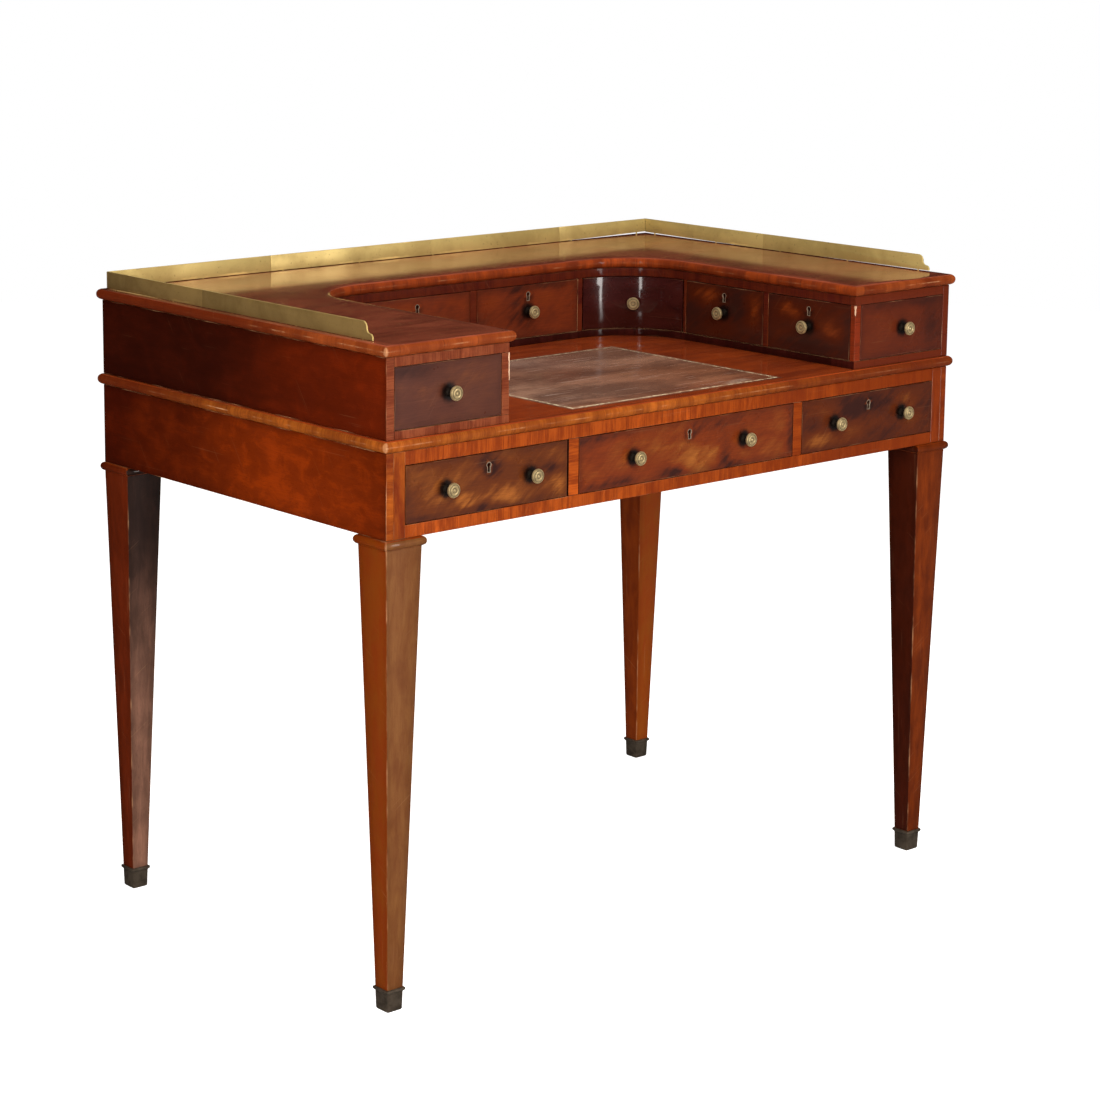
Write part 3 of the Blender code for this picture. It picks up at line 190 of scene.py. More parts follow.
# Colours of the finishes, as (description, value).
COLOURS = {
    "side_wood": ("Polished mahogany of the sides", (0.056, 0.005, 0.0004)),
    "side_shade": ("Its darker figure", (0.028, 0.0024, 0.0003)),
    # Lighter and more golden towards the front of the sides: painted light falling from the front.
    "side_faded": ("The same wood where it has faded to gold", (0.2, 0.023, 0.0008)),
    "upper_wood": ("Darker wood of the upper sides", (0.03, 0.0034, 0.0009)),
    "upper_shade": ("Its darker figure", (0.015, 0.0018, 0.0006)),
    # Lighter towards the front of the upper sides: painted light falling from the front.
    "upper_faded": ("The same wood where it has faded", (0.125, 0.011, 0.0008)),
    "top_wood": ("Boards under the hand", (0.35, 0.054, 0.0085)),
    "top_shade": ("Their darker figure", (0.175, 0.025, 0.006)),
    "worn_top": ("Hazy wood of the upper top board", (0.31, 0.07, 0.032)),
    "worn_top_shade": ("Its darker figure", (0.14, 0.028, 0.013)),
    "red_stile": ("Plain wood of the case's right front post", (0.19, 0.03, 0.0034)),
    "dark_edge": ("Edge of the board under the upper drawers", (0.03, 0.0042, 0.0028)),
    "rail_wood": ("Orange-red crossbanding of the rails", (0.23, 0.04, 0.0036)),
    "rail_shade": ("Its darker pieces and streaks", (0.105, 0.013, 0.0016)),
    "nosing_wood": ("Golden crossbanding of the front edges", (0.218, 0.053, 0.006)),
    "nosing_shade": ("Its dark pieces", (0.075, 0.009, 0.0018)),
    "upper_nosing": ("Red-brown banding of the top board's edge", (0.17, 0.033, 0.0065)),
    "inner_nosing": ("Dark banding of its edge round the writing space", (0.19, 0.03, 0.005)),
    # Under the top's inner edge this darkness is partly painted shade.
    "inner_wood": ("Dark crimson edges round the writing space", (0.04, 0.0048, 0.0028)),
    "post_wood": ("Orange-red post of the right arm", (0.13, 0.015, 0.0036)),
    "case_wood": ("Red-brown crossbanding round the drawers", (0.148, 0.035, 0.0125)),
    "case_shade": ("Its darker pieces and streaks", (0.075, 0.011, 0.0035)),
    "stile_wood": ("Posts beside the frieze drawers", (0.33, 0.076, 0.0065)),
    "flame_wood": ("Ground of the drawer fronts", (0.085, 0.019, 0.004)),
    "centre_wood": ("Redder ground of the centre drawer", (0.125, 0.0195, 0.0034)),
    "right_wood": ("Browner ground of the right drawer", (0.078, 0.014, 0.0026)),
    "row_wood": ("Dark red ground of the drawers in the row", (0.115, 0.018, 0.005)),
    "inner_arm_wood": ("Dark ground of the drawers in the arms", (0.048, 0.007, 0.002)),
    "flame_gold": ("Golden flames in them", (0.27, 0.08, 0.014)),
    "flame_red": ("Orange-red flames of the upper drawers", (0.19, 0.033, 0.005)),
    "flame_shade": ("Dark clouds in them", (0.023, 0.006, 0.004)),
    "arm_wood": ("Brown wood of the arm ends", (0.062, 0.0175, 0.0095)),
    "red_arm_wood": ("Redder wood of the right arm's end", (0.07, 0.011, 0.0035)),
    "corner_wood": ("Dark wood of the concave fronts", (0.035, 0.006, 0.005)),
    "leg_wood": ("Warm brown of the legs", (0.19, 0.03, 0.0025)),
    "leg_shade": ("Their darker streaks", (0.105, 0.015, 0.0018)),
    # These leg colours are for single sides of single legs. The lighter, darker and hazier ones are partly
    # painted light, painted shade and painted haze of the bright room, and partly a real difference in the
    # wood.
    "leg_faded": ("The leg's front where it has faded", (0.135, 0.051, 0.0135)),
    "leg_dark": ("The dark wood of the far legs", (0.095, 0.011, 0.0016)),
    "leg_gold": ("Golden wood of the back right leg and the near leg", (0.185, 0.044, 0.0036)),
    # The far left leg's front: near-black at its top is painted shade near the collar, and pale grey at its
    # foot is painted haze.
    "leg_grey": ("Front of the far left leg at its top", (0.016, 0.006, 0.004)),
    "leg_haze": ("The same front at its foot", (0.21, 0.095, 0.06)),
    "lining_wood": ("Wood inside the drawers", (0.3, 0.16, 0.07)),
    "bare_wood": ("Wood where the veneer has chipped off", (0.56, 0.42, 0.32)),
    "worn_wood": ("Bare wood at rubbed edges", (0.48, 0.25, 0.12)),
    "brass": ("Aged brass of the gallery", (0.56, 0.415, 0.145)),
    "brass_shade": ("Darker patina on it", (0.4, 0.285, 0.092)),
    "knob_brass": ("Handled brass of the knobs", (0.41, 0.305, 0.15)),
    "knob_shade": ("Dark patina in their rings", (0.19, 0.135, 0.07)),
    "thread_brass": ("Pale brass of the keyholes", (0.24, 0.175, 0.12)),
    "cap_brass": ("Dark patina of the foot caps", (0.14, 0.105, 0.075)),
    "leather": ("Worn brown leather", (0.37, 0.195, 0.125)),
    "leather_shade": ("Its darker stains", (0.14, 0.068, 0.045)),
    "tooling": ("What is left of the gilt line", (0.6, 0.5, 0.32)),
    "floor": ("Pale studio floor", (0.85, 0.85, 0.85)),
}

# Watts of the lights and brightness of the studio, as (description, value).
STAGE = {
    "key_power": ("Watts of the large soft light", 150.0),
    "fill_power": ("Watts of the light from the left", 40.0),
    "strip_power": ("Watts of the tall light at the right", 40.0),
    "left_strip_power": ("Watts of the tall light at the left", 18.0),
    "overhead_power": ("Watts of the light over the desk", 60.0),
    "surround": ("Brightness of the room for diffuse light", 0.32),
    "mirrored_surround": ("Brightness of the room in the polish", 0.09),
    "mirrored_floor": ("Brightness of the floor in the polish", 0.17),
}


def settings(table, kind, **options):
    """The properties of a table's rows, which a user can set."""
    return {
        name: kind(name=name.replace("_", " ").capitalize(), description=description, default=value, **options)
        for name, (description, value) in table.items()
    }


class DeskSizes(bpy.types.PropertyGroup):
    """Sizes of what the frame doesn't give."""

    __annotations__ = settings(SIZES, FloatProperty, unit="LENGTH", precision=4)


class DeskColours(bpy.types.PropertyGroup):
    """Colours of the finishes."""

    __annotations__ = settings(COLOURS, FloatVectorProperty, subtype="COLOR", size=3, min=0.0, max=1.0)


class DeskStage(bpy.types.PropertyGroup):
    """Camera and lights."""

    __annotations__ = {
        "lens": FloatProperty(
            name="Lens", description="Focal length over a 36 mm sensor, in metres",
            default=0.09258, unit="LENGTH",
        ),
        **settings(STAGE, FloatProperty, min=0.0),
    }


class Nodes:
    """Adds nodes to a tree. A value may be a number, a colour or another node's socket."""

    def __init__(self, tree):
        self.tree = tree

    def feed(self, socket, value):
        """Link a socket to another node, or set its value."""
        if isinstance(value, bpy.types.NodeSocket):
            self.tree.links.new(value, socket)
        else:
            socket.default_value = value

    def add(self, kind, inputs=(), **settings):
        """A new node with its inputs and settings."""
        node = self.tree.nodes.new(kind)
        for key, value in settings.items():
            setattr(node, key, value)
        for key, value in dict(inputs).items():
            self.feed(node.inputs[key], value)
        return node

    def maths(self, operation, first, second=0.0, clamp=False):
        node = self.add("ShaderNodeMath", {0: first, 1: second}, operation=operation, use_clamp=clamp)
        return node.outputs[0]

    def times(self, first, second, clamp=False):
        return self.maths("MULTIPLY", first, second, clamp)

    def plus(self, first, second, clamp=False):
        return self.maths("ADD", first, second, clamp)

    def minus(self, first, second, clamp=False):
        return self.maths("SUBTRACT", first, second, clamp)

    def vector(self, operation, first, second=(0.0, 0.0, 0.0), output=0):
        """Vector arithmetic."""
        return self.add("ShaderNodeVectorMath", {0: first, 1: second}, operation=operation).outputs[output]

    def axes(self, vector):
        """The three parts of a vector."""
        return self.add("ShaderNodeSeparateXYZ", {0: vector}).outputs

    def flat_length(self, across, up):
        """How far two distances at right angles reach together."""
        flat = self.add("ShaderNodeCombineXYZ", {"X": across, "Y": up}).outputs[0]
        return self.vector("LENGTH", flat, output="Value")

    def place(self):
        """The point's place in the piece's own frame."""
        return self.add("ShaderNodeTexCoord").outputs["Object"]

    def map(self, name):
        """One of the veneer maps."""
        return self.add("ShaderNodeUVMap", uv_map=name).outputs[0]

    def grey(self, value):
        """A colour with the value in all its parts."""
        return self.add("ShaderNodeCombineColor", {0: value, 1: value, 2: value}).outputs[0]

    def edge_reach(self, place, size):
        """The distance from the nearest edge of a face."""
        across, up = (self.maths("MINIMUM", place[axis], self.minus(size[axis], place[axis])) for axis in "XY")
        return self.maths("MINIMUM", across, up)

    def mix(self, factor, first, second, blend="MIX"):
        """From the first colour to the second, as the factor goes from 0 to 1."""
        node = self.add("ShaderNodeMix", data_type="RGBA", blend_type=blend, clamp_factor=True)
        self.feed(node.inputs[0], factor)
        for index, value in ((6, first), (7, second)):
            self.feed(node.inputs[index], value if isinstance(value, bpy.types.NodeSocket) else (*value, 1.0))
        return node.outputs[2]

    def noise(self, vector, scale, detail=3.0, roughness=0.55, distortion=0.0):
        """Soft noise about 0.5."""
        inputs = {"Vector": vector, "Scale": scale, "Detail": detail}
        inputs.update({"Roughness": roughness, "Distortion": distortion})
        return self.add("ShaderNodeTexNoise", inputs).outputs["Fac"]

    def stretch(self, vector, scale):
        """A map scaled along each of its axes."""
        return self.vector("MULTIPLY", vector, scale)

    def span(self, value, low, high, to_low=0.0, to_high=1.0):
        """A smooth step from one value to another while the input goes from low to high."""
        inputs = {"Value": value, "From Min": low, "From Max": high, "To Min": to_low, "To Max": to_high}
        return self.add("ShaderNodeMapRange", inputs, interpolation_type="SMOOTHSTEP").outputs["Result"]

    def bump(self, height):
        """Normals of a surface that rises by that height in metres."""
        inputs = {"Height": height, "Strength": 1.0, "Distance": 1.0}
        return self.add("ShaderNodeBump", inputs).outputs[0]


def new_group(name, inputs, outputs):
    """A shader node group with named sockets, its nodes still to be made."""
    tree = bpy.data.node_groups.new(name, "ShaderNodeTree")
    for label, kind, default in inputs:
        socket = tree.interface.new_socket(label, in_out="INPUT", socket_type="NodeSocket" + kind)
        if kind != "Vector":
            socket.default_value = default
    for label, kind in outputs:
        tree.interface.new_socket(label, in_out="OUTPUT", socket_type="NodeSocket" + kind)
    nodes = Nodes(tree)
    return nodes, nodes.add("NodeGroupInput").outputs, nodes.add("NodeGroupOutput").inputs


def figure_group():
    """Mahogany's figure, from a map in metres whose X runs along the grain."""
    nodes, given, out = new_group(
        "mahogany_figure",
        [("Map", "Vector", None), ("Figure Size", "Float", 0.1), ("Flame", "Float", 0.3)],
        [("Figure", "Float"), ("Fibre", "Float"), ("Pores", "Float")],
    )
    scale = nodes.maths("DIVIDE", 1.0, given["Figure Size"])
    drift = nodes.noise(nodes.stretch(given["Map"], (0.5, 1.0, 1.0)), scale, 2.0)
    swirl = nodes.times(nodes.minus(drift, 0.5), given["Flame"])
    shift = nodes.add("ShaderNodeCombineXYZ", {"X": swirl, "Y": nodes.times(swirl, 0.6)})
    bent = nodes.vector("ADD", given["Map"], shift.outputs[0])
    ribbons = nodes.noise(nodes.stretch(bent, (0.9, 4.2, 1.0)), scale, 4.0, 0.6, 0.4)
    clouds = nodes.noise(bent, nodes.times(scale, 0.8), 3.0, 0.5, 0.8)
    both = nodes.plus(nodes.times(ribbons, 0.6), nodes.times(clouds, 0.4))
    nodes.feed(out["Figure"], nodes.span(both, 0.34, 0.66))
    fibre = nodes.noise(nodes.stretch(bent, (26.0, 620.0, 1.0)), 1.0, 3.0, 0.6)
    nodes.feed(out["Fibre"], fibre)
    pores = nodes.noise(nodes.stretch(bent, (130.0, 1500.0, 1.0)), 1.0, 2.0, 0.5)
    nodes.feed(out["Pores"], nodes.span(pores, 0.62, 0.72))
    return nodes.tree


def banding_group():
    """Crossbanding, from a map in metres whose X runs along the band, so its grain runs in Y."""
    nodes, given, out = new_group(
        "crossbanding",
        [("Map", "Vector", None), ("Piece Length", "Float", 0.06)],
        [("Tone", "Float"), ("Joint", "Float"), ("Streaks", "Float")],
    )
    place = nodes.axes(given["Map"])
    wander = nodes.noise(nodes.stretch(given["Map"], (0.0, 160.0, 0.0)), 1.0, 2.0)
    along = nodes.plus(place["X"], nodes.times(wander, 0.0016))
    steps = nodes.maths("DIVIDE", along, given["Piece Length"])
    given_steps = {"W": steps, "Scale": 1.0, "Randomness": 0.85}
    cells = nodes.add("ShaderNodeTexVoronoi", given_steps, voronoi_dimensions="1D")
    tints = nodes.add("ShaderNodeSeparateColor", {0: cells.outputs["Color"]}).outputs
    tint = nodes.times(nodes.plus(tints["Red"], tints["Green"]), 0.5)
    edges = nodes.add("ShaderNodeTexVoronoi", given_steps, voronoi_dimensions="1D", feature="DISTANCE_TO_EDGE")
    joint = nodes.span(edges.outputs["Distance"], 0.004, 0.012, 1.0, 0.0)
    streaks = nodes.noise(nodes.stretch(given["Map"], (620.0, 22.0, 1.0)), 1.0, 4.0, 0.7)
    broad = nodes.noise(nodes.stretch(given["Map"], (70.0, 9.0, 1.0)), 1.0, 3.0, 0.6)
    mixed = nodes.plus(nodes.times(streaks, 0.5), nodes.times(broad, 0.5))
    nodes.feed(out["Tone"], tint)
    nodes.feed(out["Joint"], joint)
    nodes.feed(out["Streaks"], nodes.span(mixed, 0.34, 0.66))
    return nodes.tree


def wear_group():
    """Rubbed edges, from maps that hold the place on a face and the face's size."""
    nodes, given, out = new_group(
        "edge_wear",
        [
            ("Span", "Vector", None),
            ("Extent", "Vector", None),
            ("Map", "Vector", None),
            ("Width", "Float", 0.002),
            ("Amount", "Float", 0.5),
        ],
        [("Wear", "Float"), ("Grime", "Float")],
    )
    place = nodes.axes(given["Span"])
    size = nodes.axes(given["Extent"])
    reach = nodes.maths("MAXIMUM", nodes.edge_reach(place, size), 0.0)
    broken = nodes.noise(given["Map"], 55.0, 4.0, 0.65)
    fine = nodes.noise(given["Map"], 420.0, 3.0, 0.7)
    ragged = nodes.plus(nodes.times(broken, 0.7), nodes.times(fine, 0.3))
    limit = nodes.times(given["Width"], nodes.span(ragged, 0.4, 0.72))
    inside = nodes.minus(1.0, nodes.maths("DIVIDE", reach, nodes.plus(limit, 0.0001)))
    patchy = nodes.times(nodes.span(nodes.noise(given["Map"], 17.0, 3.0, 0.6), 0.46, 0.7), given["Amount"])
    wear = nodes.times(nodes.maths("MAXIMUM", inside, 0.0), patchy, True)
    nodes.feed(out["Wear"], wear)
    nodes.feed(out["Grime"], nodes.span(reach, 0.0, 0.012, 1.0, 0.0))
    return nodes.tree


def polish_group():
    """An old polish: uneven gloss, fine scratches and slow waves."""
    nodes, given, out = new_group(
        "old_polish",
        [("Map", "Vector", None), ("Scratch", "Float", 0.3)],
        [("Dulling", "Float"), ("Scratches", "Float"), ("Waves", "Float")],
    )
    dull = nodes.noise(given["Map"], 9.0, 5.0, 0.65)
    nodes.feed(out["Dulling"], nodes.span(dull, 0.35, 0.75))
    turned = nodes.add("ShaderNodeVectorRotate", {"Vector": given["Map"], "Angle": 0.6}).outputs[0]
    first = nodes.noise(nodes.stretch(given["Map"], (7.0, 420.0, 1.0)), 1.0, 2.0, 0.5)
    second = nodes.noise(nodes.stretch(turned, (520.0, 9.0, 1.0)), 1.0, 2.0, 0.5)
    lines = nodes.maths("MAXIMUM", nodes.span(first, 0.7, 0.74), nodes.span(second, 0.7, 0.74))
    nodes.feed(out["Scratches"], nodes.times(lines, given["Scratch"]))
    nodes.feed(out["Waves"], nodes.noise(given["Map"], 14.0, 2.0, 0.4))
    return nodes.tree


def patina_group():
    """Old brass: broad tarnish, specks and fine rubbing lines."""
    nodes, given, out = new_group(
        "brass_patina",
        [("Place", "Vector", None), ("Cloud Size", "Float", 0.05)],
        [("Tarnish", "Float"), ("Specks", "Float"), ("Rubbing", "Float")],
    )
    scale = nodes.maths("DIVIDE", 1.0, given["Cloud Size"])
    broad = nodes.noise(given["Place"], scale, 5.0, 0.62, 0.3)
    nodes.feed(out["Tarnish"], nodes.span(broad, 0.36, 0.7))
    specks = nodes.noise(given["Place"], nodes.times(scale, 22.0), 3.0, 0.6)
    nodes.feed(out["Specks"], nodes.span(specks, 0.62, 0.74))
    rubbing = nodes.noise(nodes.stretch(given["Place"], (40.0, 40.0, 1500.0)), 1.0, 2.0, 0.6)
    nodes.feed(out["Rubbing"], rubbing)
    return nodes.tree


GROUP_MAKERS = {
    "mahogany_figure": figure_group,
    "crossbanding": banding_group,
    "edge_wear": wear_group,
    "old_polish": polish_group,
    "brass_patina": patina_group,
}


def new_material(name):
    """An empty material with its Principled shader, as (material, nodes, shader's inputs)."""
    material = bpy.data.materials.new(name)
    material.use_nodes = True
    nodes = Nodes(material.node_tree)
    return material, nodes, material.node_tree.nodes["Principled BSDF"].inputs


def place_group(nodes, name, inputs):
    """Put a shared group in a material, as its outputs."""
    tree = bpy.data.node_groups.get(name) or GROUP_MAKERS[name]()
    node = nodes.add("ShaderNodeGroup", node_tree=tree)
    for key, value in inputs.items():
        nodes.feed(node.inputs[key], value)
    return node.outputs


def edge_wear(nodes, coords, width, amount):
    """The wear and the grime along the edges of each face."""
    inputs = {"Span": nodes.map("span"), "Extent": nodes.map("extent"), "Map": coords}
    return place_group(nodes, "edge_wear", {**inputs, "Width": width, "Amount": amount})


def scaled(tint, amount):
    """A colour times one amount, or each part of it times its own."""
    amounts = amount if isinstance(amount, tuple) else (amount,) * 3
    return tuple(min(1.0, value * part) for value, part in zip(tint, amounts))


def polished(nodes, shader, coords, colour_socket, fibre, wear, roughness, coat, scratch=0.3,
             grain_depth=0.00004, sheen=0.1):
    """Finish a wooden material: colour, uneven gloss, grain, and bare wood where it is rubbed."""
    worn = bpy.context.scene.desk_colours.worn_wood
    polish = place_group(nodes, "old_polish", {"Map": coords, "Scratch": scratch})
    scuffed = nodes.mix(nodes.times(polish["Scratches"], 0.35), colour_socket, worn)
    nodes.feed(shader["Base Color"], nodes.mix(wear, scuffed, worn))
    dull = nodes.times(polish["Dulling"], 0.16)
    rough = nodes.plus(dull, nodes.times(wear, 0.25))
    nodes.feed(shader["Roughness"], nodes.plus(rough, roughness, True))
    coat_mask = nodes.minus(1.0, nodes.times(wear, 0.7))
    nodes.feed(shader["Coat Weight"], nodes.times(coat_mask, coat))
    shader["Coat Roughness"].default_value = 0.08
    shader["Coat IOR"].default_value = 1.5
    shader["Specular IOR Level"].default_value = sheen
    height = nodes.times(fibre, grain_depth)
    waves = nodes.times(polish["Waves"], 0.00012)
    scores = nodes.times(polish["Scratches"], -0.0001)
    total = nodes.plus(nodes.plus(height, waves), scores)
    nodes.feed(shader["Normal"], nodes.bump(total))


def towards_front(nodes, start=0.3, end=-0.33, spent=0.0, axis="Y"):
    """A mask that grows along one axis, as a rule from back to front, and may fall again at the front."""
    place = nodes.place()
    drift = nodes.times(nodes.minus(nodes.noise(place, 6.0, 4.0, 0.6), 0.5), 0.35)
    drifted = nodes.plus(nodes.axes(place)[axis], drift)
    grown = nodes.span(drifted, start, end)
    if not spent:
        return grown
    return nodes.minus(grown, nodes.span(drifted, -0.12, -0.33, 0.0, spent), True)


def mahogany(name, light, shade, figure_size=0.12, flame=0.05, wear_amount=0.7, roughness=0.28, coat=0.4,
             scratch=0.3, lightened=None, lightening=(0.3, -0.33), sheen=0.1, mottle=0.0):
    """Plain mahogany with a soft figure, which may turn lighter along one axis, as a rule towards the front. On
    the sides that is painted light falling from the front; on a leg's front it is painted shade at its top and
    painted haze at its foot.
    """
    material, nodes, shader = new_material(name)
    coords = nodes.map("veneer")
    inputs = {"Map": coords, "Figure Size": figure_size, "Flame": flame}
    figure = place_group(nodes, "mahogany_figure", inputs)
    ground, dark = light, shade
    if lightened is not None:
        front = towards_front(nodes, *lightening)
        ground = nodes.mix(front, ground, lightened)
        dark = nodes.mix(front, dark, tuple(f * s / l for f, s, l in zip(lightened, shade, light)))
    base = nodes.mix(figure["Figure"], dark, ground)
    if mottle:
        spots = nodes.noise(nodes.stretch(coords, (22.0, 34.0, 1.0)), 1.0, 6.0, 0.7, 0.6)
        base = nodes.mix(nodes.span(spots, 0.38, 0.62, mottle, 0.0), base, dark)
        base = nodes.mix(nodes.span(spots, 0.5, 0.68, 0.0, mottle), base, ground)
    streaked = nodes.mix(nodes.span(figure["Fibre"], 0.35, 0.65, 0.0, 0.35), base, dark)
    pored = nodes.mix(nodes.times(figure["Pores"], 0.5), streaked, scaled(shade, 0.4))
    wear = edge_wear(nodes, coords, 0.0016, wear_amount)
    grimed = nodes.mix(nodes.times(wear["Grime"], 0.25), pored, scaled(shade, 0.5))
    fibre, worn = figure["Fibre"], wear["Wear"]
    polished(nodes, shader, coords, grimed, fibre, worn, roughness, coat, scratch, sheen=sheen)
    return material


def crossbanding(name, light, shade, dark_share=0.35, wear_amount=0.6, lightened=(), darker_right=0.0, coat=0.18):
    """Short pieces of veneer side by side, with their grain across the band, darker to the right if asked."""
    sizes = bpy.context.scene.desk_sizes
    material, nodes, shader = new_material(name)
    coords = nodes.map("veneer")
    band = place_group(nodes, "crossbanding", {"Map": coords, "Piece Length": sizes.band_piece})
    clouds = nodes.noise(coords, 22.0, 4.0, 0.65, 0.4)
    mixed = nodes.plus(nodes.times(band["Tone"], 0.38), nodes.times(clouds, 0.62))
    tone = nodes.span(mixed, dark_share - 0.1, dark_share + 0.25)
    kept = 1.0
    if lightened:
        kept = nodes.span(towards_front(nodes, *lightened), 0.0, 1.0, 0.1, 1.0)
    if darker_right:
        place = nodes.place()
        across = nodes.axes(place)["X"]
        kept = nodes.times(kept, nodes.span(across, -0.1, 0.4, 1.0, 1.0 - darker_right), True)
    tone = nodes.times(tone, kept, True)
    ground = nodes.mix(tone, shade, light)
    pale_share = nodes.times(nodes.span(mixed, 0.58, 0.7, 0.0, 0.5), kept)
    pale = nodes.mix(pale_share, ground, scaled(light, 1.6))
    streak = nodes.mix(nodes.span(band["Streaks"], 0.2, 0.8, 0.0, 0.5 if lightened else 0.75), pale, shade)
    lines = nodes.noise(nodes.stretch(coords, (900.0, 30.0, 1.0)), 1.0, 2.0, 0.5)
    lined = nodes.mix(nodes.span(lines, 0.6, 0.7, 0.0, 0.5), streak, scaled(shade, 0.4))
    jointed = nodes.mix(nodes.times(band["Joint"], 0.4), lined, scaled(shade, 0.3))
    wear = nodes.times(edge_wear(nodes, coords, 0.0022, wear_amount)["Wear"], kept)
    # A pale spot at the front left corner of the boards' edges: partly worn bare wood, partly a painted
    # highlight.
    if lightened:
        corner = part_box("writing_top")[0]
        place = nodes.place()
        flat = nodes.stretch(place, (1.0, 1.0, 0.0))
        away = nodes.vector("DISTANCE", flat, (corner.x, corner.y, 0.0), "Value")
        rubbed_and_glinting = nodes.minus(away, nodes.times(clouds, 0.012))
        worn = bpy.context.scene.desk_colours.worn_wood
        jointed = nodes.mix(nodes.span(rubbed_and_glinting, -0.0005, -0.003, 0.0, 0.4), jointed, worn)
    polished(nodes, shader, coords, jointed, band["Streaks"], wear, 0.3, coat, 0.2, 0.00006, 0.04)
    return material


def flame_veneer(name, ground, gold, lustre=0.25, rough=1.0, coat=0.4, sheen=0.05):
    """Flame mahogany of the drawer fronts, with golden and dark patches from the front's own map."""
    colours = bpy.context.scene.desk_colours
    material, nodes, shader = new_material(name)
    coords = nodes.map("veneer")
    figure = place_group(nodes, "mahogany_figure", {"Map": coords, "Figure Size": 0.06, "Flame": 0.03})
    turned = nodes.add("ShaderNodeVectorRotate", {"Vector": coords, "Angle": -0.62}).outputs[0]
    feathers = nodes.noise(nodes.stretch(turned, (26.0, 120.0, 1.0)), 1.0, 4.0, 0.5, 0.45)
    clouds = nodes.noise(nodes.stretch(coords, (16.0, 26.0, 1.0)), 1.0, 3.0, 0.5, 0.5)
    patches = nodes.add("ShaderNodeAttribute", attribute_name="patches").outputs["Fac"]
    reach = nodes.plus(nodes.maths("ABSOLUTE", patches), 0.4)
    ragged = nodes.times(nodes.times(nodes.minus(feathers, 0.5), reach), 1.9 * rough)
    soft = nodes.times(nodes.minus(clouds, 0.5), 1.6 * rough)
    value = nodes.plus(patches, nodes.plus(ragged, soft))
    golden = nodes.mix(nodes.span(value, -0.1, 1.3), ground, gold)
    clouded = nodes.mix(nodes.span(value, 0.15, -1.15), golden, colours.flame_shade)
    streaked = nodes.mix(nodes.span(figure["Fibre"], 0.35, 0.65, 0.0, 0.22), clouded, colours.flame_shade)
    pored = nodes.mix(nodes.times(figure["Pores"], 0.4), streaked, (0.012, 0.004, 0.003))
    wear = edge_wear(nodes, coords, 0.001, 0.25)
    grimed = nodes.mix(nodes.times(wear["Grime"], 0.35), pored, colours.flame_shade)
    # Near-black round the knobs: painted shade of each knob, with some dirt. Round the keyhole: old dirt.
    dirt_and_shade = fitting_dirt_and_shade(nodes)
    dirtied_and_shaded = nodes.mix(dirt_and_shade, grimed, (0.004, 0.0022, 0.0018))
    polished(nodes, shader, coords, dirtied_and_shaded, figure["Fibre"], wear["Wear"], 0.26, coat, 0.15, sheen=sheen)
    clear_of_dirt_and_shade = nodes.minus(1.0, dirt_and_shade, True)
    nodes.feed(shader["Metallic"], nodes.times(nodes.span(value, -0.6, 0.9, 0.0, lustre), clear_of_dirt_and_shade))
    return material


def fitting_dirt_and_shade(nodes):
    """Dark patches round the knobs and the keyhole of a front, from the places kept on its mesh. The near-black
    ring round each knob is painted shade of the knob, with some dirt; the halo round the keyhole is old dirt.
    """
    sizes = bpy.context.scene.desk_sizes
    place = nodes.place()
    axes = nodes.axes(place)
    kept = nodes.add("ShaderNodeAttribute", attribute_name="fittings").outputs["Vector"]
    fittings = nodes.axes(kept)
    aside = nodes.minus(nodes.maths("ABSOLUTE", axes["X"]), fittings["X"])
    over = nodes.minus(axes["Z"], fittings["Y"])
    ragged = nodes.times(nodes.minus(nodes.noise(place, 160.0, 3.0, 0.6), 0.5), 0.006)
    masks = []
    for across, up, near, far, amount in (
        (aside, axes["Z"], sizes.knob_diameter * 0.4, sizes.knob_diameter * 0.85, 0.97),
        (axes["X"], over, 0.003, 0.015, 0.7),
    ):
        reach = nodes.flat_length(across, up)
        masks.append(nodes.span(nodes.plus(reach, ragged), far, near, 0.0, amount))
    halo = nodes.times(masks[1], fittings["Z"])
    return nodes.maths("MAXIMUM", masks[0], halo)


def brass_material(name, light, shade, roughness, cloud_size=0.05, metallic=1.0, edge=0.0, specular=0.5):
    """Aged brass, its edges bright where hands and dusters rub them."""
    material, nodes, shader = new_material(name)
    place = nodes.place()
    patina = place_group(nodes, "brass_patina", {"Place": place, "Cloud Size": cloud_size})
    base = nodes.mix(patina["Tarnish"], light, shade)
    specked = nodes.mix(nodes.times(patina["Specks"], 0.6), base, scaled(shade, 0.45))
    if edge:
        wear = edge_wear(nodes, nodes.map("veneer"), 0.003, edge)["Wear"]
        specked = nodes.mix(wear, specked, scaled(light, 1.5))
    nodes.feed(shader["Base Color"], specked)
    shader["Metallic"].default_value = metallic
    shader["Specular IOR Level"].default_value = specular
    spread = nodes.times(patina["Tarnish"], 0.18)
    nodes.feed(shader["Roughness"], nodes.plus(spread, roughness))
    lines = nodes.times(patina["Rubbing"], 0.00002)
    pits = nodes.times(patina["Specks"], -0.00003)
    nodes.feed(shader["Normal"], nodes.bump(nodes.plus(lines, pits)))
    return material


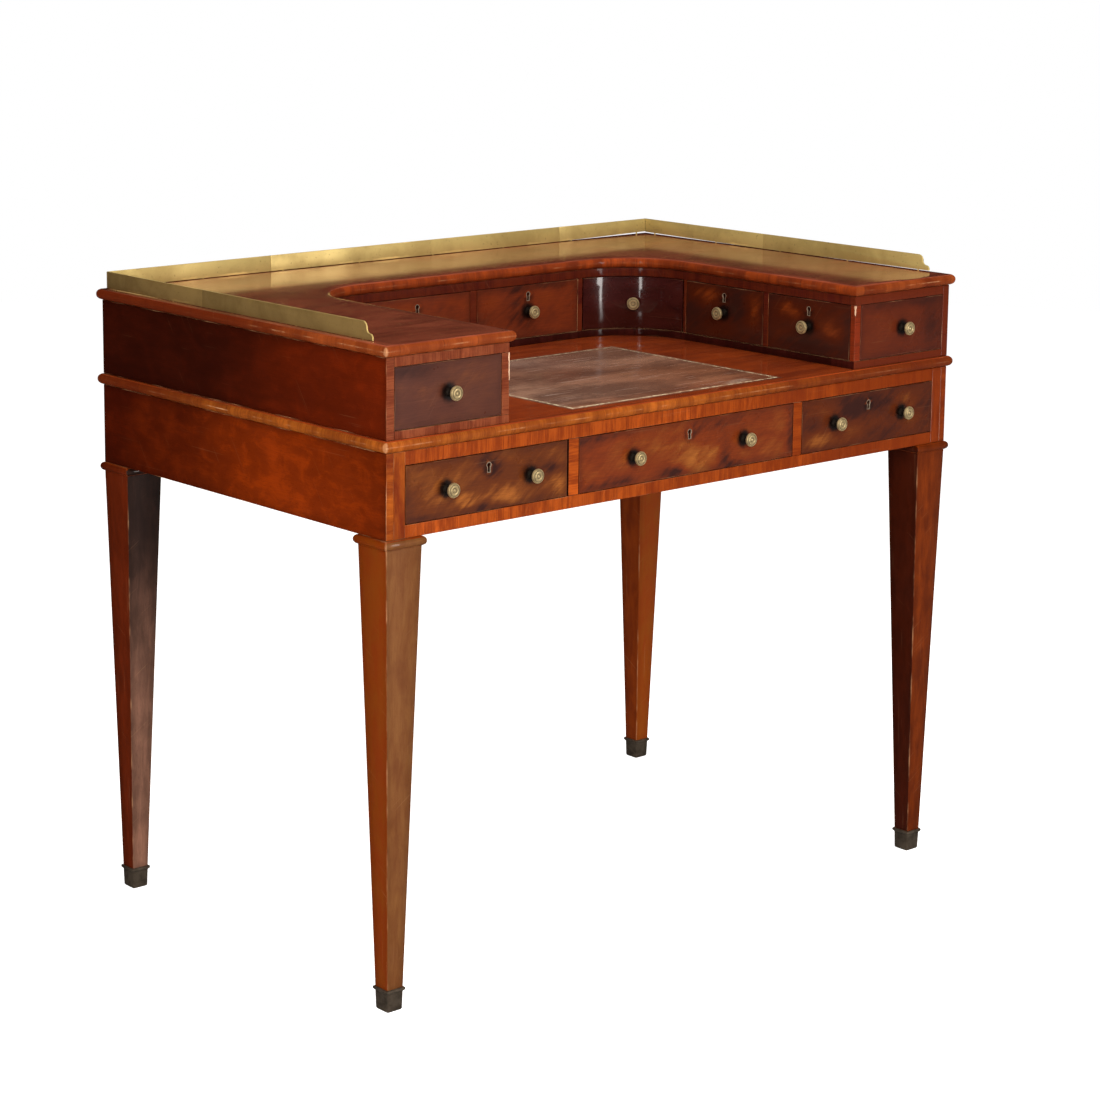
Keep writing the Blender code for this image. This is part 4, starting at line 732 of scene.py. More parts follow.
def knob_material(name, colours):
    """Brass of the knobs: black with old dirt in the rings of its face, and black behind the head, which is
    partly dirt and partly painted shade under the head.
    """
    sizes = bpy.context.scene.desk_sizes
    material, nodes, shader = new_material(name)
    place = nodes.place()
    patina = place_group(nodes, "brass_patina", {"Place": place, "Cloud Size": 0.006})
    base = nodes.mix(nodes.times(patina["Tarnish"], 0.7), colours.knob_brass, colours.knob_shade)
    axes = nodes.axes(place)
    reach = nodes.flat_length(axes["X"], axes["Y"])
    # Black behind the head: partly dirt, partly painted shade under the head.
    dirt_and_shade = nodes.span(axes["Z"], sizes.knob_projection * 0.86, sizes.knob_projection * 0.66)
    for part, width in ((0.3, 0.05), (0.745, 0.05)):
        away = nodes.maths("ABSOLUTE", nodes.minus(reach, part * sizes.knob_diameter / 2))
        ring = nodes.span(away, width * sizes.knob_diameter, 0.2 * width * sizes.knob_diameter)
        dirt_and_shade = nodes.maths("MAXIMUM", dirt_and_shade, nodes.times(ring, 0.75))
    dirty_and_shaded = nodes.mix(nodes.times(dirt_and_shade, 0.96), base, (0.01, 0.007, 0.005))
    nodes.feed(shader["Base Color"], dirty_and_shaded)
    nodes.feed(shader["Metallic"], nodes.span(dirt_and_shade, 0.0, 1.0, 0.6, 0.0))
    nodes.feed(shader["Roughness"], nodes.plus(nodes.times(dirt_and_shade, 0.35), 0.3))
    shader["Specular IOR Level"].default_value = 0.15
    pits = nodes.times(patina["Specks"], -0.00003)
    nodes.feed(shader["Normal"], nodes.bump(pits))
    return material


def leather_material(name, colours):
    """Worn leather with stains, scratches, what is left of a tooled line, and a painted sheen towards the back
    right.
    """
    material, nodes, shader = new_material(name)
    coords, place, size = nodes.map("veneer"), nodes.axes(nodes.map("span")), nodes.axes(nodes.map("extent"))
    reach = nodes.edge_reach(place, size)
    stains = nodes.noise(nodes.stretch(coords, (6.0, 13.0, 1.0)), 1.0, 6.0, 0.68, 0.4)
    base = nodes.mix(nodes.span(stains, 0.38, 0.64), colours.leather_shade, colours.leather)
    rubbed_and_glinting = nodes.noise(nodes.stretch(coords, (9.0, 90.0, 1.0)), 1.0, 5.0, 0.75)
    streaked = nodes.mix(nodes.span(rubbed_and_glinting, 0.52, 0.72, 0.0, 0.65), base, (0.3, 0.19, 0.13))
    darker = nodes.mix(nodes.span(rubbed_and_glinting, 0.44, 0.3, 0.0, 0.6), streaked, scaled(colours.leather_shade, 0.5))
    darker = nodes.mix(nodes.span(place["X"], 0.05, 0.36), darker, (1.0, 0.72, 0.55), "MULTIPLY")
    # Paler and greyer towards the back right: painted sheen, the bright room seen in the leather.
    slanted = nodes.plus(nodes.times(place["X"], 0.5), place["Y"])
    painted_sheen = nodes.times(nodes.span(slanted, 0.3, 0.42), nodes.span(place["X"], 0.1, 0.18))
    darker = nodes.mix(painted_sheen, darker, (1.8, 2.3, 2.8), "MULTIPLY")
    darker = nodes.mix(nodes.span(place["Y"], 0.055, 0.02), darker, (0.8, 0.64, 0.56), "MULTIPLY")
    aside = nodes.minus(size["X"], place["X"])
    lines = nodes.noise(nodes.stretch(coords, (20.0, 260.0, 1.0)), 1.0, 3.0, 0.6)
    patch = nodes.times(nodes.span(aside, 0.115, 0.085, 0.0, 1.0), nodes.span(aside, 0.038, 0.06))
    patch = nodes.times(patch, nodes.span(place["Y"], 0.034, 0.026, 0.0, 1.0))
    patch = nodes.times(patch, nodes.span(place["Y"], 0.006, 0.012))
    patch = nodes.times(patch, nodes.span(lines, 0.44, 0.54))
    streaked = nodes.mix(nodes.times(patch, 0.75), darker, (0.46, 0.34, 0.25))
    cracks = nodes.add("ShaderNodeTexVoronoi", {"Vector": coords, "Scale": 620.0}, feature="DISTANCE_TO_EDGE")
    creases = nodes.span(cracks.outputs["Distance"], 0.0, 0.12)
    creased = nodes.mix(nodes.times(creases, 0.35, True), scaled(colours.leather_shade, 0.5), streaked)
    grained = nodes.mix(0.55, streaked, creased)
    scores = nodes.noise(nodes.stretch(coords, (9.0, 300.0, 1.0)), 1.0, 2.0, 0.5)
    score_mask = nodes.span(scores, 0.66, 0.7)
    scored = nodes.mix(nodes.times(score_mask, 0.6), grained, (0.34, 0.24, 0.19))
    offset = nodes.maths("ABSOLUTE", nodes.minus(reach, bpy.context.scene.desk_sizes.tooling_inset))
    line = nodes.span(offset, 0.0012, 0.0024, 1.0, 0.0)
    broken = nodes.span(nodes.noise(coords, 90.0, 4.0, 0.7), 0.42, 0.58)
    tooled = nodes.times(line, nodes.span(broken, 0.0, 1.0, 0.25, 0.95))
    gilt = nodes.mix(tooled, scored, colours.tooling)
    # A dark rim along the leather's edge: the seam, partly painted shade in it.
    rim = nodes.times(nodes.span(reach, 0.0, 0.0025, 1.0, 0.0), 0.8)
    nodes.feed(shader["Base Color"], nodes.mix(rim, gilt, (0.04, 0.02, 0.014)))
    dull = nodes.span(stains, 0.3, 0.7, 0.24, 0.15)
    nodes.feed(shader["Roughness"], nodes.plus(dull, nodes.times(score_mask, 0.2)))
    shader["Specular IOR Level"].default_value = 0.55
    pebble = nodes.times(creases, 0.00005)
    sunk = nodes.times(line, -0.00025)
    wavy = nodes.times(nodes.noise(coords, 30.0, 3.0, 0.5), 0.0007)
    total = nodes.plus(nodes.plus(pebble, sunk), wavy)
    nodes.feed(shader["Normal"], nodes.bump(total))
    return material


def lining_material(name, light):
    """Plain wood of the drawer boxes."""
    material, nodes, shader = new_material(name)
    coords = nodes.map("veneer")
    figure = place_group(nodes, "mahogany_figure", {"Map": coords, "Figure Size": 0.03, "Flame": 0.01})
    base = nodes.mix(nodes.times(figure["Figure"], 0.5), light, scaled(light, 0.55))
    streaked = nodes.mix(nodes.span(figure["Fibre"], 0.4, 0.7, 0.0, 0.4), base, scaled(light, 0.45))
    wear = edge_wear(nodes, coords, 0.004, 0.5)
    nodes.feed(shader["Base Color"], nodes.mix(wear["Grime"], streaked, scaled(light, 0.5)))
    shader["Roughness"].default_value = 0.65
    height = nodes.times(figure["Fibre"], 0.0001)
    nodes.feed(shader["Normal"], nodes.bump(height))
    return material


# Settings that like woods share.
CASE = {"figure_size": 0.16, "flame": 0.06, "coat": 0.3, "scratch": 0.15, "sheen": 0.02}
BOARD = {
    "figure_size": 0.1, "flame": 0.03, "wear_amount": 0.8,
    "roughness": 0.12, "coat": 0.8, "scratch": 0.9, "sheen": 0.5,
}
STILE = {"figure_size": 0.06, "flame": 0.02, "wear_amount": 0.4, "coat": 0.18, "sheen": 0.04}
LEG = {"figure_size": 0.05, "flame": 0.03, "wear_amount": 0.3, "roughness": 0.34, "coat": 0.25, "sheen": 0.03}
BARE = {"wear_amount": 0.0, "roughness": 0.6, "coat": 0.0, "scratch": 0.0}
BROWNER = (0.68, 0.6, 0.45)
OUTER_DARKENING = (0.4, 0.33, 0.3)

# Every finish by name, as a call that takes its name and the desk's colours and makes it.
FINISHES = {
    # The sides and the upper sides turn lighter towards the front: painted light falling from the front.
    "side_mahogany": lambda name, c: mahogany(
        name, c.side_wood, c.side_shade, **CASE, lightened=c.side_faded, lightening=(0.26, -0.08, 0.5), mottle=0.7),
    "upper_mahogany": lambda name, c: mahogany(
        name, c.upper_wood, c.upper_shade, **CASE, lightened=c.upper_faded, lightening=(0.16, -0.4), mottle=0.5),
    "top_mahogany": lambda name, c: mahogany(name, c.top_wood, c.top_shade, **BOARD),
    "worn_top": lambda name, c: mahogany(name, c.worn_top, c.worn_top_shade, **BOARD),
    "bare_wood": lambda name, c: mahogany(name, c.bare_wood, c.worn_wood, 0.01, 0.005, **BARE),
    # Near-black sides of the drawer openings: painted shade in the gaps beside the fronts, with some dirt.
    "shaded_opening": lambda name, c: mahogany(
        name, (0.01, 0.0035, 0.0025), (0.005, 0.002, 0.0016), 0.05, 0.02, **BARE),
    "corner_mahogany": lambda name, c: mahogany(
        name, c.corner_wood, scaled(c.corner_wood, 0.5), 0.08, 0.02, 0.3, 0.16, 0.8, 0.1),
    # The leg finishes from here on are copies of one polish for single sides of the legs, lighter or darker:
    # partly painted light and shade, partly real differences in the wood.
    "leg_polish": lambda name, c: mahogany(name, c.leg_wood, c.leg_shade, **LEG),
    "brown_leg": lambda name, c: mahogany(
        name, scaled(c.leg_gold, BROWNER), scaled(c.leg_wood, BROWNER), **LEG),
    "golden_leg": lambda name, c: mahogany(name, c.leg_gold, c.leg_wood, **LEG),
    "red_leg": lambda name, c: mahogany(name, scaled(c.leg_wood, 0.68), scaled(c.leg_shade, 0.6), **LEG),
    "dark_leg": lambda name, c: mahogany(name, c.leg_dark, scaled(c.leg_dark, 0.6), **LEG),
    "black_leg": lambda name, c: mahogany(
        name, scaled(c.leg_dark, 0.4), scaled(c.leg_dark, 0.25), **LEG | {"sheen": 0.1}),
    # The near leg's front: its greyer, olive colour is painted haze, the bright room seen in its polish.
    "hazy_front_leg": lambda name, c: mahogany(
        name, c.leg_faded, scaled(c.leg_faded, (0.7, 0.55, 0.5)), **LEG | {"roughness": 0.36, "sheen": 0.1}),
    # Near-black at the top of the far left leg's front is painted shade; the pale grey at its foot is painted
    # haze.
    "grey_leg": lambda name, c: mahogany(
        name, c.leg_grey, scaled(c.leg_grey, 0.5), **LEG | {"roughness": 0.36, "coat": 0.4, "sheen": 0.1},
        lightened=c.leg_haze, lightening=(0.66, 0.0, 0.0, "Z")),
    "stile_mahogany": lambda name, c: mahogany(name, c.stile_wood, c.rail_shade, **STILE),
    "red_stile": lambda name, c: mahogany(name, c.red_stile, c.rail_shade, **STILE),
    "rail_banding": lambda name, c: crossbanding(
        name, c.rail_wood, c.rail_shade, 0.25, 0.12, darker_right=0.7, coat=0.08),
    "case_banding": lambda name, c: crossbanding(
        name, c.case_wood, c.case_shade, 0.25, 0.3, darker_right=1.0, coat=0.1),
    "nosing_banding": lambda name, c: crossbanding(
        name, c.nosing_wood, c.nosing_shade, 0.25, 1.0, (0.24, 0.02), 0.8),
    "upper_nosing": lambda name, c: crossbanding(name, c.upper_nosing, c.nosing_shade, 0.25, 1.0, (0.14, -0.3)),
    "inner_nosing": lambda name, c: crossbanding(name, c.inner_nosing, c.case_shade, 0.35, 0.5),
    "inner_banding": lambda name, c: crossbanding(name, c.inner_wood, c.case_shade, 0.35, 0.06),
    "dark_banding": lambda name, c: crossbanding(name, c.dark_edge, scaled(c.dark_edge, 0.4), 0.35, 0.1),
    "post_banding": lambda name, c: crossbanding(name, c.post_wood, c.case_shade, 0.25, 0.2),
    "left_flame": lambda name, c: flame_veneer(name, c.flame_wood, c.flame_gold, rough=1.35),
    "centre_flame": lambda name, c: flame_veneer(name, c.centre_wood, c.flame_gold),
    "right_flame": lambda name, c: flame_veneer(name, c.right_wood, c.flame_gold),
    "row_flame": lambda name, c: flame_veneer(name, c.row_wood, c.flame_red, 0.15),
    "arm_flame": lambda name, c: flame_veneer(name, c.inner_arm_wood, c.flame_red, 0.15),
    "arm_end_veneer": lambda name, c: flame_veneer(name, c.arm_wood, c.flame_gold, 0.1, 0.5, 0.5, 0.1),
    "red_arm_end_veneer": lambda name, c: flame_veneer(name, c.red_arm_wood, c.flame_red, 0.1, 0.5),
    "drawer_lining": lambda name, c: lining_material(name, c.lining_wood),
    "worn_leather": leather_material,
    "gallery_brass": lambda name, c: brass_material(name, c.brass, c.brass_shade, 0.36, 0.1, 0.45, 0.9),
    "outer_gallery_brass": lambda name, c: brass_material(
        name, scaled(c.brass, OUTER_DARKENING), scaled(c.brass_shade, OUTER_DARKENING), 0.42, 0.06, 0.45, 0.9),
    "knob_brass": knob_material,
    # The stem is near-black: painted shade under the knob's head, with some dirt.
    "knob_stem": lambda name, c: brass_material(
        name, (0.01, 0.007, 0.005), (0.004, 0.003, 0.0025), 0.55, 0.004, 0.0, specular=0.04),
    "thread_brass": lambda name, c: brass_material(
        name, c.thread_brass, scaled(c.thread_brass, 0.6), 0.4, 0.012, 0.2),
    "cap_brass": lambda name, c: brass_material(name, c.cap_brass, scaled(c.cap_brass, 0.5), 0.42, 0.015, 0.7),
}


def finish(name):
    """The finish of that name, made when it is first asked for."""
    return bpy.data.materials.get(name) or FINISHES[name](name, bpy.context.scene.desk_colours)


def seed_of(name):
    """A steady shift for a piece's veneer, so that no two pieces share a figure."""
    return (sum((index + 1) * ord(letter) for index, letter in enumerate(name)) % 199) * 0.731


def map_layers(bm):
    """The mesh's three veneer maps."""
    layers = bm.loops.layers.uv
    return [layers.get(name) or layers.new(name) for name in VENEER_MAPS]


def lay_face(face, layers, origin, along, across, size, seed, rounded=False):
    """Lay veneer on a face: its grain along one direction, its place and size on the other maps."""
    veneer, span, extent = layers
    for loop in face.loops:
        offset = loop.vert.co - origin
        place = Vector((offset.dot(along), offset.dot(across)))
        loop[veneer].uv = place + Vector((seed, seed * 0.37))
        loop[span].uv = place
        loop[extent].uv = (0.0, 0.0) if rounded else size


def cover_box(bm, low, high, grain, seed, bands=()):
    """Lay veneer on a box; the sides named in bands, as (axis, sign), get the second finish."""
    layers = map_layers(bm)
    size = high - low
    for face in bm.faces:
        facing = max(range(3), key=lambda axis: abs(face.normal[axis]))
        sign = 1 if face.normal[facing] > 0 else -1
        others = [axis for axis in range(3) if axis != facing]
        banded = (facing, sign) in bands
        if banded:
            along = max(others, key=lambda axis: size[axis])
        else:
            along = grain if grain != facing else others[0]
        across = others[0] if others[1] == along else others[1]
        rounded = abs(face.normal[facing]) < 0.995
        shift = seed + facing * 3.1 + sign
        lay_face(face, layers, low, AXES[along], AXES[across], (size[along], size[across]), shift, rounded)
        face.material_index = 1 if banded else 0


def box_bm(low, high, edge, segments=2):
    """A box between two corners with rounded edges."""
    bm = bmesh.new()
    matrix = Matrix.Translation((low + high) / 2) @ Matrix.Diagonal((*(high - low), 1.0))
    bmesh.ops.create_cube(bm, size=1.0, matrix=matrix)
    if edge > 0:
        bmesh.ops.bevel(bm, geom=bm.edges[:], offset=edge, segments=segments, profile=0.5, affect="EDGES")
    return bm


def finish_mesh(bm, name, materials):
    """Turn a bmesh into a mesh with its finishes."""
    bmesh.ops.recalc_face_normals(bm, faces=bm.faces[:])
    mesh = bpy.data.meshes.new(name)
    bm.to_mesh(mesh)
    bm.free()
    for material in materials:
        mesh.materials.append(finish(material))
    return mesh


def add_piece(name, mesh, body, nodes=(), matrix=None):
    """Add a piece that rides on a body, and hide the nodes it stands for."""
    piece = bpy.data.objects.new(name, mesh)
    bpy.context.scene.collection.objects.link(piece)
    if matrix is not None:
        piece.matrix_world = matrix
    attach(piece, body)
    if nodes:
        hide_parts(*nodes)
    return piece


def add_board(node, grain, materials, slot, bands=()):
    """Dress a node that is a plain board."""
    low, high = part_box(node)
    bm = box_bm(low, high, bpy.context.scene.desk_sizes.edge_round)
    cover_box(bm, low, high, grain, seed_of(node), bands)
    mesh = finish_mesh(bm, node + "_board", materials)
    return add_piece(node + "_board", mesh, "desk", [node])


def shade_smooth(mesh, angle=35):
    """Smooth shading over the soft edges only."""
    mesh.shade_smooth()
    mesh.set_sharp_from_angle(angle=math.radians(angle))


def arc(centre, radius, start, end, steps):
    """Points on an arc, with both ends, from one angle in degrees to another."""
    angles = [math.radians(start + (end - start) * step / steps) for step in range(steps + 1)]
    return [(centre[0] + radius * math.cos(a), centre[1] + radius * math.sin(a)) for a in angles]


def inset_outline(outline, inset):
    """A counter-clockwise outline moved inward by a distance, its corners kept mitred."""
    moved = []
    count = len(outline)
    for index, point in enumerate(outline):
        before = (Vector(point) - Vector(outline[index - 1])).normalized()
        after = (Vector(outline[(index + 1) % count]) - Vector(point)).normalized()
        first, second = Vector((-before.y, before.x)), Vector((-after.y, after.x))
        moved.append(Vector(point) + inset * (first + second) / (1 + first.dot(second)))
    return moved


def edge_profile(low_z, high_z, radius, band, steps):
    """A board's edge from its top inward to its bottom, as (inset, height) points."""
    points = [(radius + band, high_z)] if band else []
    for inset, height in arc((radius, high_z - radius), radius, 90, 180, steps):
        points.append((inset, height))
    for inset, height in arc((radius, low_z + radius), radius, 180, 270, steps):
        points.append((inset, height))
    return points


def moulded_bm(outline, low_z, high_z, radius, band=0.0, steps=5, seed=0.0, hole=None):
    """A board with any outline. Its rounded edge and the band on top get the second finish."""
    area = sum(
        first[0] * second[1] - second[0] * first[1]
        for first, second in zip(outline, outline[1:] + outline[:1])
    )
    if area < 0:
        outline = outline[::-1]
    bm = bmesh.new()
    layers = map_layers(bm)
    veneer, span, extent = layers
    profile = edge_profile(low_z, high_z, radius, band, steps)
    rings = []
    for inset, height in profile:
        rings.append([bm.verts.new((*point, height)) for point in inset_outline(outline, inset)])
    count = len(outline)
    starts = [0.0]
    for index in range(count):
        starts.append(starts[-1] + (Vector(outline[(index + 1) % count]) - Vector(outline[index])).length)
    reach = [0.0]
    for first, second in zip(profile, profile[1:]):
        reach.append(reach[-1] + math.dist(first, second))
    straight_limit = 0.03
    for row, (upper, lower) in enumerate(zip(rings, rings[1:])):
        flat = abs(profile[row][0] - profile[row + 1][0]) < 1e-6
        for index in range(count):
            after = (index + 1) % count
            face = bm.faces.new((upper[index], lower[index], lower[after], upper[after]))
            face.material_index = 0 if band and row < 1 + steps // 2 else 1
            start = Vector((*outline[index], 0.0))
            run = Vector((*outline[after], 0.0)) - start
            straight = run.length > straight_limit
            ends = {upper[index]: (0, 0), lower[index]: (0, 1), lower[after]: (1, 1), upper[after]: (1, 0)}
            for loop in face.loops:
                end, down = ends[loop.vert]
                offset = (loop.vert.co - start).dot(run.normalized()) if straight else end * run.length
                fall = reach[row + down]
                loop[veneer].uv = (seed + starts[index] + offset, fall + seed * 0.37)
                if flat:
                    tall = profile[row][1] - profile[row + 1][1]
                    loop[span].uv = (offset if straight else 1.0, down * tall)
                    loop[extent].uv = (run.length if straight else 2.0, tall)
                else:
                    loop[span].uv = (offset + 1.0, abs(fall - reach[1] - radius * 0.5))
                    loop[extent].uv = (run.length + 2.0, 1.0)
    ends = [(rings[0], hole), (rings[-1], None)]
    bounds_low = Vector((min(p[0] for p in outline), min(p[1] for p in outline), low_z))
    bounds_high = Vector((max(p[0] for p in outline), max(p[1] for p in outline), high_z))
    size = bounds_high - bounds_low
    for number, (ring, opening) in enumerate(ends):
        if opening is None:
            faces = [bm.faces.new(ring if number else ring[::-1])]
        else:
            faces = open_field(bm, ring, opening)
        for face in faces:
            face.material_index = 0
            lay_face(face, layers, bounds_low, AXES[X], AXES[Y], (size.x, size.y), seed + number)
    return bm


def open_field(bm, ring, opening):
    """The top of a rectangular board round a shallow rectangular recess, with the recess itself."""
    (low_x, low_y), (high_x, high_y), depth = opening
    corners = [(low_x, low_y), (high_x, low_y), (high_x, high_y), (low_x, high_y)]
    top_z = ring[0].co.z
    rim = [bm.verts.new((x, y, top_z)) for x, y in corners]
    floor = [bm.verts.new((x, y, top_z - depth)) for x, y in corners]
    nearest = [min(ring, key=lambda vert: (vert.co - corner.co).length) for corner in rim]
    faces = []
    for index in range(4):
        after = (index + 1) % 4
        faces.append(bm.faces.new((nearest[index], nearest[after], rim[after], rim[index])))
        faces.append(bm.faces.new((rim[index], rim[after], floor[after], floor[index])))
    faces.append(bm.faces.new(floor))
    return faces


def rectangle(low, high):
    """A rectangle as an outline."""
    return [(low.x, low.y), (high.x, low.y), (high.x, high.y), (low.x, high.y)]


def u_outline(outer_x, outer_y, front_y, lip):
    """The U of the upper case in plan, its inner edge standing out by lip over the drawer faces."""
    sizes = bpy.context.scene.desk_sizes
    face_x, row_y = arm_face_x(), row_face_y()
    centre = (face_x - sizes.corner_radius, row_y - sizes.corner_radius)
    corner = arc(centre, sizes.corner_radius - lip, 0, 90, 24)
    right = [(outer_x, outer_y), (outer_x, front_y), (face_x - lip, front_y)] + corner
    left = [(-x, y) for x, y in reversed(right)]
    return right + left


def arm_face_x():
    """Where the inner face of the right arm is."""
    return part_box("arm_partition_right")[0].x - PLAY


def row_face_y():
    """Where the face of the back row is."""
    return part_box("row_partition_centre")[0].y - PLAY


def outer_lip():
    """How far the moulded boards stand out past the case."""
    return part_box("upper_top")[1].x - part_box("upper_side_right")[1].x - PLAY


def loft(bm, rings):
    """Join rings of as many points each into one closed skin, as rows of faces."""
    verts = [[bm.verts.new(point) for point in ring] for ring in rings]
    count = len(verts[0])
    rows = []
    for upper, lower in zip(verts, verts[1:]):
        row = []
        for index in range(count):
            after = (index + 1) % count
            row.append(bm.faces.new((upper[index], lower[index], lower[after], upper[after])))
        rows.append(row)
    caps = [bm.faces.new(verts[0][::-1]), bm.faces.new(verts[-1])]
    return rows, caps


def square_ring(half, height, centre, corner):
    """A square with rounded corners, three points to each."""
    points = []
    for turn, (x, y) in enumerate(((1, 1), (-1, 1), (-1, -1), (1, -1))):
        middle = (centre[0] + x * (half - corner), centre[1] + y * (half - corner))
        start = turn * 90
        points += [(px, py, height) for px, py in arc(middle, corner, start, start + 90, 2)]
    return points


def cover_square(rows, caps, rings, layers, seed):
    """Lay veneer up the sides of a lofted square post, its grain running up."""
    veneer, span, extent = layers
    base = rings[-1][0][2]
    top = rings[0][0][2]
    for row, upper in zip(rows, rings):
        for index, face in enumerate(row):
            side = (index // 3) % 4
            rounded = index % 3 != 2
            across = AXES[X] if side in (0, 2) else AXES[Y]
            width = (Vector(upper[index]) - Vector(upper[(index + 1) % len(upper)])).length
            for loop in face.loops:
                point = loop.vert.co
                place = point.dot(across)
                loop[veneer].uv = (point.z + seed + side * 1.7, place + seed * 0.37)
                far = loop.vert not in (face.loops[0].vert, face.loops[1].vert)
                loop[span].uv = (point.z - base, width if far else 0.0)
                loop[extent].uv = (0.0, 0.0) if rounded else (top - base, width)
    for face in caps:
        for loop in face.loops:
            loop[veneer].uv = (loop.vert.co.x + seed, loop.vert.co.y)
            loop[span].uv = (0.0, 0.0)
            loop[extent].uv = (0.0, 0.0)


def add_post(node, name, rings, finishes, angle):
    """A square post from rings, top first. A second and a third finish dress its left side and its front."""
    bm = bmesh.new()
    layers = map_layers(bm)
    rows, caps = loft(bm, rings)
    cover_square(rows, caps, rings, layers, seed_of(node))
    if len(finishes) > 1:
        bm.normal_update()
        for face in bm.faces:
            if face.normal.x < -SQUARE_ON:
                face.material_index = 1
            elif face.normal.y < -SQUARE_ON:
                face.material_index = 2
    mesh = finish_mesh(bm, name, finishes)
    shade_smooth(mesh, angle)
    add_piece(name, mesh, "desk", [node])


def turned_bm(profile, steps):
    """A solid turned about Z, from (radius, height) points listed from top to bottom."""
    bm = bmesh.new()
    rings = []
    for radius, height in profile:
        if radius < 1e-6:
            rings.append([bm.verts.new((0.0, 0.0, height))])
            continue
        angles = [math.tau * step / steps for step in range(steps)]
        rings.append([bm.verts.new((radius * math.cos(a), radius * math.sin(a), height)) for a in angles])
    for upper, lower in zip(rings, rings[1:]):
        for index in range(steps):
            after = (index + 1) % steps
            if len(upper) == 1:
                bm.faces.new((upper[0], lower[index], lower[after]))
            elif len(lower) == 1:
                bm.faces.new((upper[index], lower[0], upper[after]))
            else:
                bm.faces.new((upper[index], lower[index], lower[after], upper[after]))
    return bm


def drawer_frame(name):
    """A drawer's own frame, as (matrix, opening width, opening low and high, depth)."""
    sizes = bpy.context.scene.desk_sizes
    low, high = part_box(name + "_drawer")
    low_z, high_z = low.z - PLAY, high.z + sizes.front_gap
    middle = (low_z + high_z) / 2
    if name.startswith("corner"):
        side = -1 if "left" in name else 1
        reach = sizes.corner_radius * math.sqrt(0.5)
        x = side * (arm_face_x() - sizes.corner_radius + reach)
        y = row_face_y() - sizes.corner_radius + reach
        turn, width, depth = -45 * side, 2 * reach, sizes.corner_box_depth
    elif name.startswith("arm"):
        side = -1 if "_left" in name else 1
        x, y = side * arm_face_x(), (low.y + high.y) / 2
        turn, width, depth = -90 * side, high.y - low.y + 0.001, high.x - low.x
    else:
        x, y = (low.x + high.x) / 2, low.y
        turn, width, depth = 0, high.x - low.x + 0.001, high.y - low.y
    matrix = Matrix.Translation((x, y, middle)) @ Matrix.Rotation(math.radians(turn), 4, "Z")
    return matrix, width, high_z - low_z, depth


def keyhole_outline(inset):
    """A keyhole about its own middle, drawn in by an inset."""
    sizes = bpy.context.scene.desk_sizes
    radius, half_tail = sizes.keyhole_eye / 2, sizes.keyhole_tail / 2
    eye = (0.0, sizes.keyhole_height / 2 - radius)
    meeting = math.degrees(math.asin((half_tail - inset) / (radius - inset)))
    points = arc(eye, radius - inset, meeting - 90, 270 - meeting, 16)
    foot = -sizes.keyhole_height / 2 + inset
    return points + [(-half_tail + inset, foot), (half_tail - inset, foot)]


def paint_patches(mesh, name, width, height, keyhole_rise=0.0):
    """Store on a front's points its light and dark patches, and where its knobs and keyhole are."""
    layer = mesh.attributes.new("patches", "FLOAT", "POINT")
    patches = FIGURE_PATCHES.get(name, PLAIN_PATCHES)
    for vertex, value in zip(mesh.vertices, layer.data):
        along, up = vertex.co.x / width + 0.5, vertex.co.z / height + 0.5
        total = 0.0
        for place, rise, reach, spread, strength in patches:
            away = ((along - place) / reach) ** 2 + ((up - rise) / spread) ** 2
            total += strength * math.exp(-away)
        value.value = total
    half_spread = 0.0
    if name.startswith("frieze"):
        left, right = (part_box(f"{name}_knob_{side}") for side, _ in SIDES)
        half_spread = (right[0].x - left[0].x) / 2
    fittings = mesh.attributes.new("fittings", "FLOAT_VECTOR", "POINT")
    for value in fittings.data:
        value.vector = (half_spread, keyhole_rise, 1.0 if keyhole_rise else 0.0)


def cut_away(piece, cutter_mesh, matrix):
    """Cut a shape out of a piece for good."""
    cutter = bpy.data.objects.new(piece.name + "_cutter", cutter_mesh)
    bpy.context.scene.collection.objects.link(cutter)
    cutter.matrix_world = matrix
    modifier = piece.modifiers.new("cut", "BOOLEAN")
    modifier.operation = "DIFFERENCE"
    modifier.solver = "EXACT"
    modifier.object = cutter
    bpy.context.view_layer.update()
    graph = bpy.context.evaluated_depsgraph_get()
    cut = piece.evaluated_get(graph)
    mesh = bpy.data.meshes.new_from_object(cut, preserve_all_data_layers=True, depsgraph=graph)
    piece.modifiers.remove(modifier)
    old = piece.data
    piece.data = mesh
    bpy.data.meshes.remove(old)
    bpy.data.objects.remove(cutter)


def settled(bm):
    """The same shape with its points and faces in order of place, the same in every run."""
    verts = sorted(bm.verts, key=lambda vert: vert.co[:])
    order = {vert: number for number, vert in enumerate(verts)}
    rings = []
    for face in bm.faces:
        ring = [order[vert] for vert in face.verts]
        first = ring.index(min(ring))
        rings.append(ring[first:] + ring[:first])
    fixed = bmesh.new()
    points = [fixed.verts.new(vert.co) for vert in verts]
    for ring in sorted(rings):
        fixed.faces.new([points[number] for number in ring])
    fixed.normal_update()
    bm.free()
    return fixed


